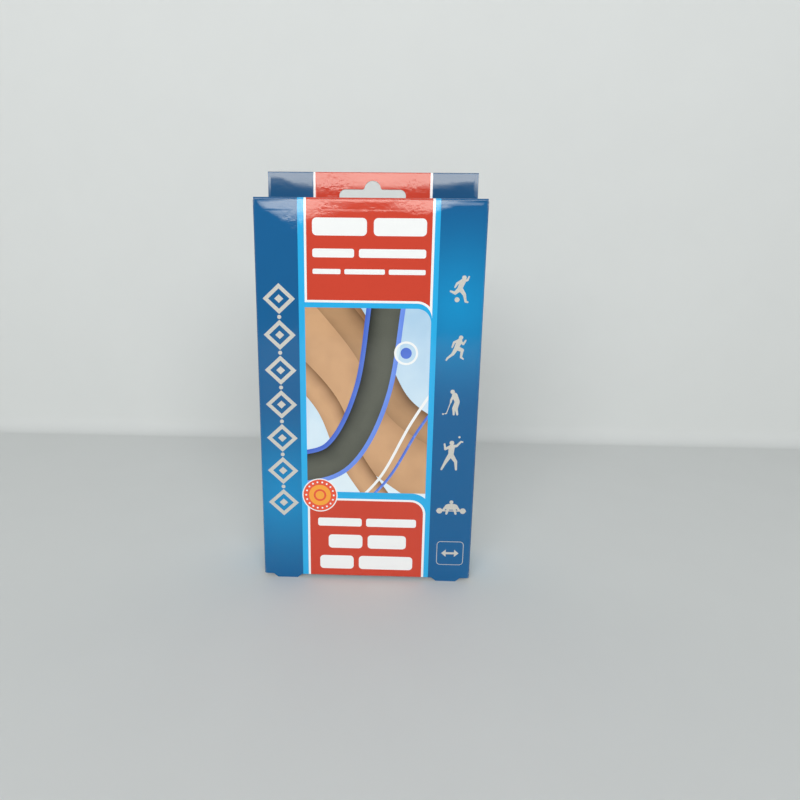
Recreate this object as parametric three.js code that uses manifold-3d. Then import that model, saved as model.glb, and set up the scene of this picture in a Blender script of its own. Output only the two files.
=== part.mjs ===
// Retail carton with a hang tab: a tall sleeve of folded board on four low feet. The top lid hinges on
// the front panel, tucks in at the back and covers two dust flaps. The bottom lid hinges on the back
// panel and tucks in at the front. The back panel runs on above the lid, folded double, as a hang tab
// with a euro slot.
// Millimetres, +Z up. The front faces -Y, and the origin is on the ground below the middle of the carton.
import * as THREE from 'three';
import { mergeVertices } from 'three/addons/utils/BufferGeometryUtils.js';
import Module from 'manifold-3d';

const wasm = await Module();
wasm.setup();

// Driving dimensions of the carton
const width = 120;             // outside of the sleeve, left to right
const depth = 36;              // outside of the sleeve, front to back
const bodyHeight = 210.8;      // from the front panel's lower edge to the lid's top face
const board = 0.5;             // thickness of the carton board
const cornerRadius = 1.6;      // outside of the four upright folds
const creaseRadius = 1.2;      // outside of the folds of lids and flaps
const clearance = 0.3;         // gap between pieces that meet

// Driving dimensions of the feet
const footHeight = 2.2;        // how far a foot stands below the lower edge
const footLength = 16.6;       // along the edge that it grows from
const footInset = 5.6;         // from the sleeve's side to the foot
const footSlope = 2.6;         // how far each sloped end leans in

// Driving dimensions of the hang tab
const tabHeight = 18.8;        // above the lid's top face
const tabInset = 0.3;          // from the sleeve's side to the tab's raw side
const legDepth = 22;           // glued leg of the folded tab, below the lid's top face
const slotWidth = 38;          // euro slot, with round ends
const slotHeight = 7;
const slotRise = 2.5;          // from the lid's top face to the slot
const humpRadius = 4.7;        // round middle of the slot
const humpFillet = 1.2;        // where the hump meets the slot's upper edge

// Driving dimensions of lids, tucks, dust flaps and the glued seam
const lidInset = 0.5;          // from the sleeve's side to a lid's raw side
const tuckLength = 12.5;       // straight part of a tuck
const tuckInset = 2;           // from the sleeve's side to a tuck's raw side
const tuckCorner = 8;          // round corners of a tuck
const tuckClearance = 0.4;     // from a tuck's fold to the wall behind it
const dustLength = 40;         // a dust flap, from the sleeve's side to its tip
const dustCorner = 4;          // round corners of a dust flap
const seamWidth = 12;          // glue flap inside the left side panel
const seamShortfall = 4;       // from the side panel's ends to the glue flap
const seamSlope = 3;           // sloped ends of the glue flap
const lockWidth = 3;           // narrowed stretch of the bottom lid beside its tuck

// A flap or a tuck turns by this share of the lid's own angle while the lid opens.
const followShare = 0.25;

const arcSteps = 5;
const weld = 0.2;              // how far joined shapes run into each other
const degree = Math.PI / 180;

// Levels, from the ground up
const floorLevel = footHeight;
const bottomHingeLevel = floorLevel + creaseRadius;
const backBottom = bottomHingeLevel + clearance;
const lowerDustHingeLevel = floorLevel + board + clearance + creaseRadius;
const sideBottom = lowerDustHingeLevel + clearance;
const lidLevel = floorLevel + bodyHeight;
const lidHingeLevel = lidLevel - creaseRadius;
const frontTop = lidHingeLevel - clearance;
const dustHingeLevel = lidLevel - board - clearance - creaseRadius;
const sideTop = dustHingeLevel - clearance;
const tabTop = lidLevel + tabHeight;
const slotBottom = lidLevel + slotRise;

// Planes, from the front to the back
const frontFace = -depth / 2;
const backFace = depth / 2;
const sideFace = width / 2;
const legFace = backFace - 2 * board;
const tuckHinge = legFace - tuckClearance - creaseRadius;
const lidBack = tuckHinge - clearance;
const lidReach = lidBack - frontFace;

// The tuck leans in by the angle that lets its tip pass the back panel as the lid swings up.
const tuckLean = 1.05 * tuckLength * (1 + followShare) ** 2 / (2 * lidReach);

// A dust flap narrows towards its tip, so that lid and tuck clear it as all of them turn.
const dustStart = cornerRadius + 2 * clearance;
const dustEnd = lidReach - clearance;
const dustFrontTaper = 1.25 * followShare;
const dustBackTaper = 0.4 * followShare;

// Printed board, coated outside, and the plain board of the parts that stay inside
const printedBoard = new THREE.MeshStandardMaterial({ color: 0x2a6ea8, roughness: 0.3, metalness: 0 });
const plainBoard = new THREE.MeshStandardMaterial({ color: 0xc9c4b8, roughness: 0.8, metalness: 0 });

// Axes of an extruded outline: drawn in Y and Z and run along +X, or drawn in X and Z and run along -Y.
const acrossX = new THREE.Matrix4().makeBasis(
  new THREE.Vector3(0, 1, 0),
  new THREE.Vector3(0, 0, 1),
  new THREE.Vector3(1, 0, 0),
);
const acrossY = new THREE.Matrix4().makeBasis(
  new THREE.Vector3(1, 0, 0),
  new THREE.Vector3(0, 0, 1),
  new THREE.Vector3(0, -1, 0),
);

function solidOf(geometry) {
  const bare = geometry.index ? geometry.toNonIndexed() : geometry.clone();
  bare.deleteAttribute('normal');
  bare.deleteAttribute('uv');
  const merged = mergeVertices(bare, 1e-5);
  return new wasm.Manifold(new wasm.Mesh({
    numProp: 3,
    vertProperties: Float32Array.from(merged.attributes.position.array),
    triVerts: Uint32Array.from(merged.index.array),
  }));
}

function extruded(shape, length, axes) {
  const geometry = new THREE.ExtrudeGeometry(shape, {
    depth: length,
    bevelEnabled: false,
    curveSegments: 2 * arcSteps,
  });
  if (axes) geometry.applyMatrix4(axes);
  return geometry;
}

// Outline in Y and Z, run along X from -half to half
function runAcross(shape, half) {
  return solidOf(extruded(shape, 2 * half, acrossX).translate(-half, 0, 0));
}

// Outline in X and Z, run along Y from front to back
function runDeep(shape, front, back) {
  return solidOf(extruded(shape, back - front, acrossY).translate(0, back, 0));
}

// Outline in X and Y, run along Z from low to high
function runUp(shape, low, high) {
  return solidOf(extruded(shape, high - low).translate(0, 0, low));
}

function block(low, high) {
  const size = high.map((value, axis) => value - low[axis]);
  const centre = high.map((value, axis) => (value + low[axis]) / 2);
  return solidOf(new THREE.BoxGeometry(...size).translate(...centre));
}

function meshOf(name, solid, material) {
  const { vertProperties, triVerts } = solid.getMesh();
  const geometry = new THREE.BufferGeometry();
  geometry.setAttribute('position', new THREE.BufferAttribute(Float32Array.from(vertProperties), 3));
  geometry.setIndex(new THREE.BufferAttribute(Uint32Array.from(triVerts), 1));
  const mesh = new THREE.Mesh(geometry, material);
  mesh.name = name;
  return mesh;
}

// Section of a folded strip of board. It starts at the origin and follows the outer face, with the
// board on the right of the way. Each step is a straight run or a bend to the right.
function foldedSection(startAngle, steps) {
  const outer = [];
  const inner = [];
  const here = new THREE.Vector2();
  let angle = startAngle;
  const mark = () => {
    const right = new THREE.Vector2(Math.sin(angle), -Math.cos(angle));
    outer.push(here.clone());
    inner.push(here.clone().addScaledVector(right, board));
  };
  mark();
  for (const { run = 0, bend = 0 } of steps) {
    if (run) {
      here.addScaledVector(new THREE.Vector2(Math.cos(angle), Math.sin(angle)), run);
      mark();
    }
    for (let step = 0; bend && step < arcSteps; step += 1) {
      here.addScaledVector(new THREE.Vector2(Math.sin(angle), -Math.cos(angle)), creaseRadius);
      angle -= bend / arcSteps;
      here.addScaledVector(new THREE.Vector2(Math.sin(angle), -Math.cos(angle)), -creaseRadius);
      mark();
    }
  }
  return new THREE.Shape([...outer, ...inner.reverse()]);
}

function roundedRectangle(halfX, halfY, radius, Kind = THREE.Shape) {
  const outline = new Kind();
  outline.moveTo(-halfX + radius, -halfY);
  outline.absarc(halfX - radius, -halfY + radius, radius, -90 * degree, 0);
  outline.absarc(halfX - radius, halfY - radius, radius, 0, 90 * degree);
  outline.absarc(-halfX + radius, halfY - radius, radius, 90 * degree, 180 * degree);
  outline.absarc(-halfX + radius, -halfY + radius, radius, 180 * degree, 270 * degree);
  return outline;
}

// What a round corner takes off a tuck of the given half width: side is -1 or 1, and outward is 1
// where the tuck's tip is its upper end, -1 where it is its lower end.
function cornerOffcut(side, half, tip, outward) {
  const centre = [side * (half - tuckCorner), tip - outward * tuckCorner];
  const points = [[side * (half + weld), centre[1]], [side * (half + weld), tip + outward * weld],
    [centre[0], tip + outward * weld]];
  for (let step = 0; step <= arcSteps; step += 1) {
    const turn = (90 - 90 * step / arcSteps) * degree;
    points.push([
      centre[0] + side * tuckCorner * Math.cos(turn),
      centre[1] + outward * tuckCorner * Math.sin(turn),
    ]);
  }
  return new THREE.Shape(points.map(([x, z]) => new THREE.Vector2(x, z)));
}

function footOutline(side, top) {
  const outer = sideFace - footInset;
  const inner = outer - footLength;
  const points = [[outer, top], [outer, footHeight], [outer - footSlope, 0], [inner + footSlope, 0],
    [inner, footHeight], [inner, top]];
  return new THREE.Shape(points.map(([x, z]) => new THREE.Vector2(side * x, z)));
}

// Euro slot: a wide slot with round ends and a round hump that centres the carton on its hook
function euroSlot() {
  const middle = slotBottom + slotHeight / 2;
  const top = slotBottom + slotHeight;
  const reach = (slotWidth - slotHeight) / 2;
  const filletX = Math.sqrt((humpRadius + humpFillet) ** 2 - humpFillet ** 2);
  const touch = Math.atan2(humpFillet, filletX);
  const outline = new THREE.Shape();
  outline.moveTo(-reach, slotBottom);
  outline.absarc(reach, middle, slotHeight / 2, -90 * degree, 90 * degree);
  outline.absarc(filletX, top + humpFillet, humpFillet, -90 * degree, touch - Math.PI, true);
  outline.absarc(0, top, humpRadius, touch, Math.PI - touch);
  outline.absarc(-filletX, top + humpFillet, humpFillet, -touch, -90 * degree, true);
  outline.absarc(-reach, middle, slotHeight / 2, 90 * degree, 270 * degree);
  return runDeep(outline, legFace - 1, backFace + 1);
}

// The sleeve: four panels, feet, the glued seam and the hang tab, folded from one board
function sleeve() {
  const section = roundedRectangle(sideFace, backFace, cornerRadius);
  section.holes.push(roundedRectangle(sideFace - board, backFace - board, cornerRadius - board, THREE.Path));
  let body = runUp(section, floorLevel, frontTop);

  // The side and back panels end at the creases of their flaps and of the bottom lid.
  const flapHalf = backFace - cornerRadius;
  body = body.subtract(block([-width, -flapHalf, sideTop], [width, flapHalf, lidLevel]));
  body = body.subtract(block([-width, -flapHalf, 0], [width, flapHalf, sideBottom]));
  body = body.subtract(block([-width, flapHalf - weld, 0], [width, depth, backBottom]));

  for (const side of [-1, 1]) {
    body = body.add(runDeep(footOutline(side, floorLevel + weld), frontFace, frontFace + board));
    body = body.add(runDeep(footOutline(side, backBottom + weld), backFace - board, backFace));
  }

  // Folded tab: two boards thick, round along its top, with a leg glued inside the back panel
  const fold = new THREE.Shape();
  fold.moveTo(legFace, frontTop - weld);
  fold.lineTo(backFace, frontTop - weld);
  fold.absarc(backFace - board, tabTop - board, board, 0, 180 * degree);
  body = body.add(runAcross(fold, sideFace - tabInset));
  const legHalf = sideFace - cornerRadius - clearance;
  body = body.add(block([-legHalf, legFace, lidLevel - legDepth], [legHalf, backFace - board / 2, frontTop]));
  body = body.subtract(euroSlot());

  // Glue flap: grows from the back panel and lies against the left side panel
  const seam = new THREE.Shape();
  seam.moveTo(backFace - board, sideBottom + seamShortfall);
  seam.lineTo(backFace - board, sideTop - seamShortfall);
  seam.lineTo(backFace - board - seamWidth, sideTop - seamShortfall - seamSlope);
  seam.lineTo(backFace - board - seamWidth, sideBottom + seamShortfall + seamSlope);
  const seamFace = -sideFace + 2 * board;
  const seamSolid = solidOf(extruded(seam, 1.5 * board, acrossX).translate(seamFace - 1.5 * board, 0, 0));
  const legRoom = block(
    [-width, legFace - clearance, lidLevel - legDepth - clearance],
    [0, backFace - board, lidLevel],
  );
  return body.add(seamSolid.subtract(legRoom));
}

// The top lid hangs on a rounded crease: its own origin is the hinge line on the front face.
function topLid() {
  const section = foldedSection(90 * degree, [{ bend: 90 * degree }, { run: lidReach - creaseRadius }]);
  return runAcross(section, sideFace - lidInset);
}

// The tuck grows from the lid's back edge: its own origin is the hinge line in the lid's top face.
function topTuck() {
  const section = foldedSection(0, [{ bend: 90 * degree + tuckLean }, { run: tuckLength }]);
  const half = sideFace - tuckInset;
  const tip = Math.min(...section.getPoints().map((point) => point.y));
  let tuck = runAcross(section, half);
  for (const side of [-1, 1]) {
    tuck = tuck.subtract(runDeep(cornerOffcut(side, half, tip, -1), -tuckLength, tuckLength));
  }
  return tuck;
}

// The bottom lid and its tuck, in place: hinged on the back panel and tucked in behind the front one
function bottomLid() {
  const tuckFace = frontFace + board + clearance;
  const section = foldedSection(-90 * degree, [
    { bend: 90 * degree },
    { run: backFace - tuckFace - 2 * creaseRadius },
    { bend: 90 * degree },
    { run: tuckLength },
  ]);
  const half = sideFace - tuckInset;
  const tip = bottomHingeLevel + tuckLength;
  let lid = runAcross(section, sideFace - lidInset).translate([0, backFace, bottomHingeLevel]);
  for (const side of [-1, 1]) {
    const lock = [side * half, side * width].sort((a, b) => a - b);
    lid = lid.subtract(block([lock[0], frontFace, 0], [lock[1], tuckFace + lockWidth, 2 * tip]));
    lid = lid.subtract(runDeep(cornerOffcut(side, half, tip, 1), frontFace, tuckFace + lockWidth));
    const foot = [side * (sideFace - footInset), side * (sideFace - footInset - footLength)];
    foot.sort((a, b) => a - b);
    lid = lid.subtract(block(
      [foot[0] - clearance, backFace - footHeight, 0],
      [foot[1] + clearance, depth, sideBottom],
    ));
  }
  return lid;
}

// A dust flap lies inwards from its hinge line at the origin. Its Y is the distance from the panel
// that the lid beside it hinges on, and hand -1 mirrors it for the other side of the carton.
function dustFlap(hand) {
  const section = foldedSection(90 * degree, [{ bend: 90 * degree }, { run: dustLength - creaseRadius }]);
  const outline = new THREE.Shape();
  const front = dustStart + dustFrontTaper * dustLength;
  const back = dustEnd - dustBackTaper * dustLength;
  const tipStart = dustLength - dustCorner;
  outline.moveTo(-weld, dustStart);
  outline.lineTo(tipStart, front - dustFrontTaper * dustCorner);
  outline.quadraticCurveTo(dustLength, front, dustLength, front + dustCorner);
  outline.lineTo(dustLength, back - dustCorner);
  outline.quadraticCurveTo(dustLength, back, tipStart, back + dustBackTaper * dustCorner);
  outline.lineTo(-weld, dustEnd);
  const points = outline.getPoints(arcSteps).map((point) => new THREE.Vector2(point.x, hand * point.y));
  const strip = runDeep(section, -depth, depth);
  return strip.intersect(runUp(new THREE.Shape(points), -creaseRadius, 2 * creaseRadius));
}

const carton = new THREE.Group();
carton.add(meshOf('carton_sleeve', sleeve(), printedBoard));
carton.add(meshOf('bottom_lid', bottomLid(), printedBoard));

// Lid and tuck sit in nested groups, each at its own hinge line.
const lidGroup = new THREE.Group();
lidGroup.position.set(0, frontFace, lidHingeLevel);
lidGroup.add(meshOf('top_lid', topLid(), printedBoard));
const tuckGroup = new THREE.Group();
tuckGroup.position.set(0, lidReach + clearance, creaseRadius);
tuckGroup.add(meshOf('top_tuck', topTuck(), printedBoard));
lidGroup.add(tuckGroup);
carton.add(lidGroup);

// The four dust flaps: the lower ones are upper ones turned over, because the bottom lid hinges on
// the other panel.
const flapPlaces = [
  { name: 'top_dust_left', side: -1, face: frontFace, level: dustHingeLevel, turn: [0, 0, 0] },
  { name: 'top_dust_right', side: 1, face: frontFace, level: dustHingeLevel, turn: [0, 0, Math.PI] },
  { name: 'bottom_dust_left', side: -1, face: backFace, level: lowerDustHingeLevel, turn: [Math.PI, 0, 0] },
  { name: 'bottom_dust_right', side: 1, face: backFace, level: lowerDustHingeLevel, turn: [0, Math.PI, 0] },
];
for (const { name, side, face, level, turn } of flapPlaces) {
  const flap = meshOf(name, dustFlap(-side), plainBoard);
  flap.position.set(side * sideFace, face, level);
  flap.rotation.set(...turn);
  carton.add(flap);
}

export default carton;
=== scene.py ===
# %% [markdown]
# A printed retail carton is one flat sheet of board. A press prints it, a die cuts its outline, the slot
# and the flaps, and a machine folds and glues it. This script makes it the same way: each piece starts
# as a flat, printed blank and is then laid over the path of its folds. That keeps the print crisp, gives
# every panel the real thickness of the board, and shows the pale raw edge wherever the board is cut.

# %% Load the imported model
import math

import bpy
import numpy as np
from mathutils import Matrix, Vector
from mathutils.geometry import delaunay_2d_cdt


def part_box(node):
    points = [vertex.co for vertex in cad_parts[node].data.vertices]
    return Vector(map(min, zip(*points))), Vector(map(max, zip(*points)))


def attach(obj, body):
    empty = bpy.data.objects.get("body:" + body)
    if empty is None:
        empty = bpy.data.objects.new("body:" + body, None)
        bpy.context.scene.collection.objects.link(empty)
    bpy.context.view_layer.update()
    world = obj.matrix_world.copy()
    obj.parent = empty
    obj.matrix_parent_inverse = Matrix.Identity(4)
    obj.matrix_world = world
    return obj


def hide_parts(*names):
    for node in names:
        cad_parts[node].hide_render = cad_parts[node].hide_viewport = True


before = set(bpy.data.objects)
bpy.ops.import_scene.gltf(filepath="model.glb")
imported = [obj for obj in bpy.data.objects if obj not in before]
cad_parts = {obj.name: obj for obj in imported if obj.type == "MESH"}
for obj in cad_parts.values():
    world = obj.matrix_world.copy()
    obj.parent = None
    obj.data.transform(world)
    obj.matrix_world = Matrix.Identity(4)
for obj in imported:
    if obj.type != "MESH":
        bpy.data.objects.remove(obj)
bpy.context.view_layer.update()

# %% [markdown]
# A flat layout is easiest to write in millimetres, as a carton maker draws it. Blender works in metres,
# so the last step of every piece multiplies by MM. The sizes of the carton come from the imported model:
# a node's box gives its lowest and highest corner.

# %% Sizes of the carton
MM = 0.001


def box_mm(node):
    low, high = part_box(node)
    return np.array(low) / MM, np.array(high) / MM


sleeve_low, sleeve_high = box_mm("carton_sleeve")
lid_low, lid_high = box_mm("top_lid")
base_low = box_mm("bottom_lid")[0]
flap_low, flap_high = box_mm("top_dust_left")

WIDTH = sleeve_high[0] - sleeve_low[0]
DEPTH = sleeve_high[1] - sleeve_low[1]
FRONT = sleeve_low[1]
BACK = sleeve_high[1]
SIDE = sleeve_high[0]
TAB_TOP = sleeve_high[2]
LID_TOP = lid_high[2]
FLOOR = base_low[2]

BOARD = 0.5
FOLD = 1.6
CREASE = lid_high[2] - lid_low[2]
print(f"carton {WIDTH:.1f} x {DEPTH:.1f} mm, lid at {LID_TOP:.1f} mm, tab to {TAB_TOP:.1f} mm")

# %% [markdown]
# The camera stands where the photograph was taken: close to the carton, a little above its middle, and
# looking slightly down. Its shift moves the frame sideways and down without turning the camera, as when
# a picture is cropped off centre.

# %% Camera
PHOTO_WIDTH = 800
SENSOR = 36.0
FOCAL_PIXELS = 500.2
CENTRE_PIXEL = (375.0, 376.5)
CAMERA_PLACE = (10.2, -282.5, 173.4)
CAMERA_PITCH = math.radians(11.19)
CAMERA_YAW = math.radians(-1.44)
CAMERA_ROLL = math.radians(-0.72)

ahead = Vector((
    math.sin(CAMERA_YAW) * math.cos(CAMERA_PITCH),
    math.cos(CAMERA_YAW) * math.cos(CAMERA_PITCH),
    -math.sin(CAMERA_PITCH),
))
level_right = Vector((math.cos(CAMERA_YAW), -math.sin(CAMERA_YAW), 0))
level_down = ahead.cross(level_right)
camera_right = level_right * math.cos(CAMERA_ROLL) + level_down * math.sin(CAMERA_ROLL)
camera_up = level_right * math.sin(CAMERA_ROLL) - level_down * math.cos(CAMERA_ROLL)

camera_data = bpy.data.cameras.new("photo_camera")
camera = bpy.data.objects.new("photo_camera", camera_data)
bpy.context.scene.collection.objects.link(camera)
camera_data.sensor_width = SENSOR
camera_data.lens = FOCAL_PIXELS * SENSOR / PHOTO_WIDTH
camera_data.shift_x = (PHOTO_WIDTH / 2 - CENTRE_PIXEL[0]) / PHOTO_WIDTH
camera_data.shift_y = (CENTRE_PIXEL[1] - PHOTO_WIDTH / 2) / PHOTO_WIDTH
camera_data.clip_start = 0.01
camera.matrix_world = Matrix((camera_right, camera_up, -ahead)).transposed().to_4x4()
camera.location = Vector(CAMERA_PLACE) * MM
bpy.context.scene.camera = camera
print(f"camera lens {camera_data.lens:.1f} mm, shift {camera_data.shift_x:.3f} {camera_data.shift_y:.3f}")

# %% [markdown]
# A shared effect is a node group: it is built once, and each material places it with its own values.
# A group here only works out colours, masks and heights. The shader stays in the material, so that a
# renderer or an exporter finds it where it expects it.

# %% Helpers: a new group and its arithmetic


def new_group(name, inputs, outputs):
    tree = bpy.data.node_groups.new(name, "ShaderNodeTree")
    for socket, kind, default in inputs:
        tree.interface.new_socket(socket, in_out="INPUT", socket_type=kind).default_value = default
    for socket, kind in outputs:
        tree.interface.new_socket(socket, in_out="OUTPUT", socket_type=kind)
    return tree, tree.nodes.new("NodeGroupInput"), tree.nodes.new("NodeGroupOutput")


def feed(tree, socket, value):
    """Gives a socket a plain value, or links another node's output to it."""
    if isinstance(value, (int, float, tuple)):
        socket.default_value = value
    else:
        tree.links.new(value, socket)


def add_math(tree, operation, *values, clamp=False):
    """A sum, a product or the like of two values, or of more, taken one after the other."""
    result = values[0]
    for value in values[1:]:
        node = tree.nodes.new("ShaderNodeMath")
        node.operation = operation
        node.use_clamp = clamp
        feed(tree, node.inputs[0], result)
        feed(tree, node.inputs[1], value)
        result = node.outputs[0]
    return result


print("helpers made:", new_group.__name__, feed.__name__, add_math.__name__)

# %% [markdown]
# A few more nodes come up again and again: the place on the object, a value that the mesh stores, a
# noise, and a smooth change from one value to another.

# %% Helpers: places, stored values, noise and range


def object_place(tree):
    return tree.nodes.new("ShaderNodeTexCoord").outputs["Object"]


def add_attribute(tree, name):
    node = tree.nodes.new("ShaderNodeAttribute")
    node.attribute_name = name
    return node.outputs["Fac"]


def add_noise(tree, vector, scale, detail=2.0, roughness=0.5):
    node = tree.nodes.new("ShaderNodeTexNoise")
    node.inputs["Scale"].default_value = scale
    node.inputs["Detail"].default_value = detail
    node.inputs["Roughness"].default_value = roughness
    tree.links.new(vector, node.inputs["Vector"])
    return node.outputs["Fac"]


def add_swing(tree, noise, *strengths):
    """Turns a noise into a swing around zero, and scales it."""
    return add_math(tree, "MULTIPLY", add_math(tree, "SUBTRACT", noise, 0.5), *strengths)


def add_range(tree, value, low, high, to_low=0.0, to_high=1.0):
    node = tree.nodes.new("ShaderNodeMapRange")
    node.interpolation_type = "SMOOTHSTEP"
    for socket, number in zip(node.inputs[1:5], (low, high, to_low, to_high)):
        socket.default_value = number
    tree.links.new(value, node.inputs[0])
    return node.outputs[0]


print("helpers made:", add_attribute.__name__, add_noise.__name__, add_swing.__name__, add_range.__name__)

# %% [markdown]
# Colours are written as a screen shows them, from 0 to 255, because that is how they are compared with a
# photograph. A shader wants them as linear light.

# %% Helpers: colours


def add_mix(tree, factor, first, second, blend="MIX"):
    node = tree.nodes.new("ShaderNodeMix")
    node.data_type = "RGBA"
    node.blend_type = blend
    for index, value in ((0, factor), (6, first), (7, second)):
        feed(tree, node.inputs[index], value)
    return node.outputs[2]


def srgb(red, green, blue):
    """A screen colour from 0 to 255 as the linear colour that a shader wants."""
    channels = [c / 255 for c in (red, green, blue)]
    linear = [c / 12.92 if c <= 0.04045 else ((c + 0.055) / 1.055) ** 2.4 for c in channels]
    return (*linear, 1.0)


def socket_names(tree):
    return [item.name for item in tree.interface.items_tree]


print("screen grey 128 as linear light:", round(srgb(128, 128, 128)[0], 3))

# %% [markdown]
# Offset print is not a perfectly even layer of ink: its density drifts a little over a panel, and close
# up it has a fine tooth. Where the board is folded or has been knocked, the ink chips and the pale paper
# shows. The mesh says where that is in its "wear" attribute, and the noise breaks it into chips.

# %% Group: ink on board
DRIFT_RANGE = (0.3, 0.7)
CHIP_RANGE = (0.42, 0.7)
CHIP_HAZE = 0.5
FILM_HAZE = (0.05, 0.09)

tree, enter, leave = new_group(
    "ink_on_board",
    [
        ("Ink", "NodeSocketColor", (0.5, 0.5, 0.5, 1.0)),
        ("Drift", "NodeSocketFloat", 0.06),
        ("Tooth", "NodeSocketFloat", 0.04),
        ("Paper", "NodeSocketColor", (0.8, 0.79, 0.75, 1.0)),
    ],
    [("Color", "NodeSocketColor"), ("Roughness", "NodeSocketFloat")],
)
place = object_place(tree)
drift_noise = add_noise(tree, place, 22.0, 2.0)
drift_part = add_swing(tree, drift_noise, enter.outputs["Drift"])
tooth_part = add_swing(tree, add_noise(tree, place, 2600.0, 2.0, 0.7), enter.outputs["Tooth"])
gain = add_math(tree, "ADD", drift_part, tooth_part, 1.0)
gain_colour = tree.nodes.new("ShaderNodeCombineColor")
for channel in gain_colour.inputs:
    tree.links.new(gain, channel)
toned_ink = add_mix(tree, 1.0, enter.outputs["Ink"], gain_colour.outputs[0], "MULTIPLY")
chips = add_range(tree, add_noise(tree, place, 1900.0, 3.0, 0.6), *CHIP_RANGE)
worn = add_math(tree, "MULTIPLY", add_attribute(tree, "wear"), chips)
tree.links.new(add_mix(tree, worn, toned_ink, enter.outputs["Paper"]), leave.inputs["Color"])
film_haze = add_range(tree, drift_noise, *DRIFT_RANGE, *FILM_HAZE)
haze = add_math(tree, "ADD", film_haze, add_math(tree, "MULTIPLY", worn, CHIP_HAZE))
tree.links.new(haze, leave.inputs["Roughness"])
ink_group = tree
print("sockets of the ink group:", socket_names(ink_group))

# %% [markdown]
# Laminated board is never optically flat. It waves gently where it was glued, the film is crinkled by
# handling, and it shows the fibres below as a fine orange peel. All three are far too small to model,
# but the reflections show them, so they go into a height for a Bump node. Crinkles come where fingers
# pressed the film, so the mesh carries a "crackle" attribute that says how many there are.

# %% Group: board surface
CRINKLE_SHARE = 0.6
PEEL_SHARE = 0.012

tree, enter, leave = new_group(
    "board_surface",
    [
        ("Wave", "NodeSocketFloat", 1.0),
        ("Crinkle", "NodeSocketFloat", 1.0),
        ("Peel", "NodeSocketFloat", 1.0),
    ],
    [("Height", "NodeSocketFloat")],
)
place = object_place(tree)
wave_noise = add_noise(tree, place, 38.0, 1.5)
crinkle_noise = add_noise(tree, place, 230.0, 3.0, 0.6)
peel_noise = add_noise(tree, place, 900.0, 2.0, 0.6)
crackle_here = add_attribute(tree, "crackle")
wave_part = add_math(tree, "MULTIPLY", wave_noise, enter.outputs["Wave"])
crinkle_part = add_swing(tree, crinkle_noise, crackle_here, enter.outputs["Crinkle"], CRINKLE_SHARE)
peel_part = add_math(tree, "MULTIPLY", peel_noise, enter.outputs["Peel"], PEEL_SHARE)
height = add_math(tree, "ADD", wave_part, crinkle_part, peel_part)
tree.links.new(height, leave.inputs["Height"])
surface_group = tree
print("sockets of the surface group:", socket_names(surface_group))

# %% [markdown]
# Raw board is pressed paper fibre: a warm pale grey with darker and lighter specks, and long soft
# fibres. The same group serves the unprinted inside, the flaps and every cut edge, with its own colours.

# %% Group: paper fibre
SPECK_RANGE = (0.68, 0.76)
SPECK_COLOUR = (0.12, 0.1, 0.08, 1.0)

tree, enter, leave = new_group(
    "paper_fibre",
    [
        ("Pale", "NodeSocketColor", (0.7, 0.68, 0.62, 1.0)),
        ("Dark", "NodeSocketColor", (0.45, 0.42, 0.36, 1.0)),
        ("Speck", "NodeSocketFloat", 0.5),
    ],
    [("Color", "NodeSocketColor"), ("Height", "NodeSocketFloat")],
)
place = object_place(tree)
stretch = tree.nodes.new("ShaderNodeMapping")
stretch.inputs["Scale"].default_value = (1.0, 1.0, 0.22)
tree.links.new(place, stretch.inputs["Vector"])
fibre_noise = add_noise(tree, stretch.outputs["Vector"], 1500.0, 3.0, 0.65)
cloud_noise = add_noise(tree, place, 160.0, 3.0)
both_noises = add_math(tree, "MULTIPLY", add_math(tree, "ADD", fibre_noise, cloud_noise), 0.5)
pale_share = add_range(tree, both_noises, 0.25, 0.75)
fibre_mix = add_mix(tree, pale_share, enter.outputs["Dark"], enter.outputs["Pale"])
specks = add_range(tree, add_noise(tree, place, 1100.0, 1.0), *SPECK_RANGE)
speck_mask = add_math(tree, "MULTIPLY", specks, enter.outputs["Speck"])
tree.links.new(add_mix(tree, speck_mask, fibre_mix, SPECK_COLOUR), leave.inputs["Color"])
tree.links.new(fibre_noise, leave.inputs["Height"])
fibre_group = tree
print("sockets of the fibre group:", socket_names(fibre_group))

# %% [markdown]
# Every material starts alike: a plain shader, a shared group placed with its own values, and a height
# that a Bump node turns into the fine relief of the surface.

# %% Helpers for materials
inks = {}


def start_material(name):
    material = bpy.data.materials.new(name)
    material.use_nodes = True
    return material, material.node_tree, material.node_tree.nodes["Principled BSDF"]


def place_group(tree, group, **values):
    node = tree.nodes.new("ShaderNodeGroup")
    node.node_tree = group
    for socket, value in values.items():
        feed(tree, node.inputs[socket], value)
    return node


def add_bump(tree, shader, height, strength, distance):
    bump = tree.nodes.new("ShaderNodeBump")
    bump.inputs["Strength"].default_value = strength
    bump.inputs["Distance"].default_value = distance
    tree.links.new(height, bump.inputs["Height"])
    tree.links.new(bump.outputs["Normal"], shader.inputs["Normal"])


print("helpers made:", start_material.__name__, place_group.__name__, add_bump.__name__)

# %% [markdown]
# Each printing ink is a small material: its own colour through the shared ink group, the low roughness
# of the clear film, and the shared surface height through a Bump node. Ink and film touch without air
# between them, so only the film shines, and one glossy layer is enough.

# %% Printed inks
SURFACE_BUMP = 0.35
SURFACE_DISTANCE = 0.0004
FLAT_INKS = [
    {"name": "cyan_ink", "colour": srgb(40, 172, 229)},
    {"name": "white_print", "colour": srgb(242, 243, 242), "drift": 0.02, "tooth": 0.02},
    {"name": "red_ink", "colour": srgb(204, 66, 45), "drift": 0.08},
    {"name": "orange_ink", "colour": srgb(232, 86, 58)},
    {"name": "yellow_ink", "colour": srgb(246, 166, 62)},
    {"name": "slate_ink", "colour": srgb(110, 132, 156)},
]


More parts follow.
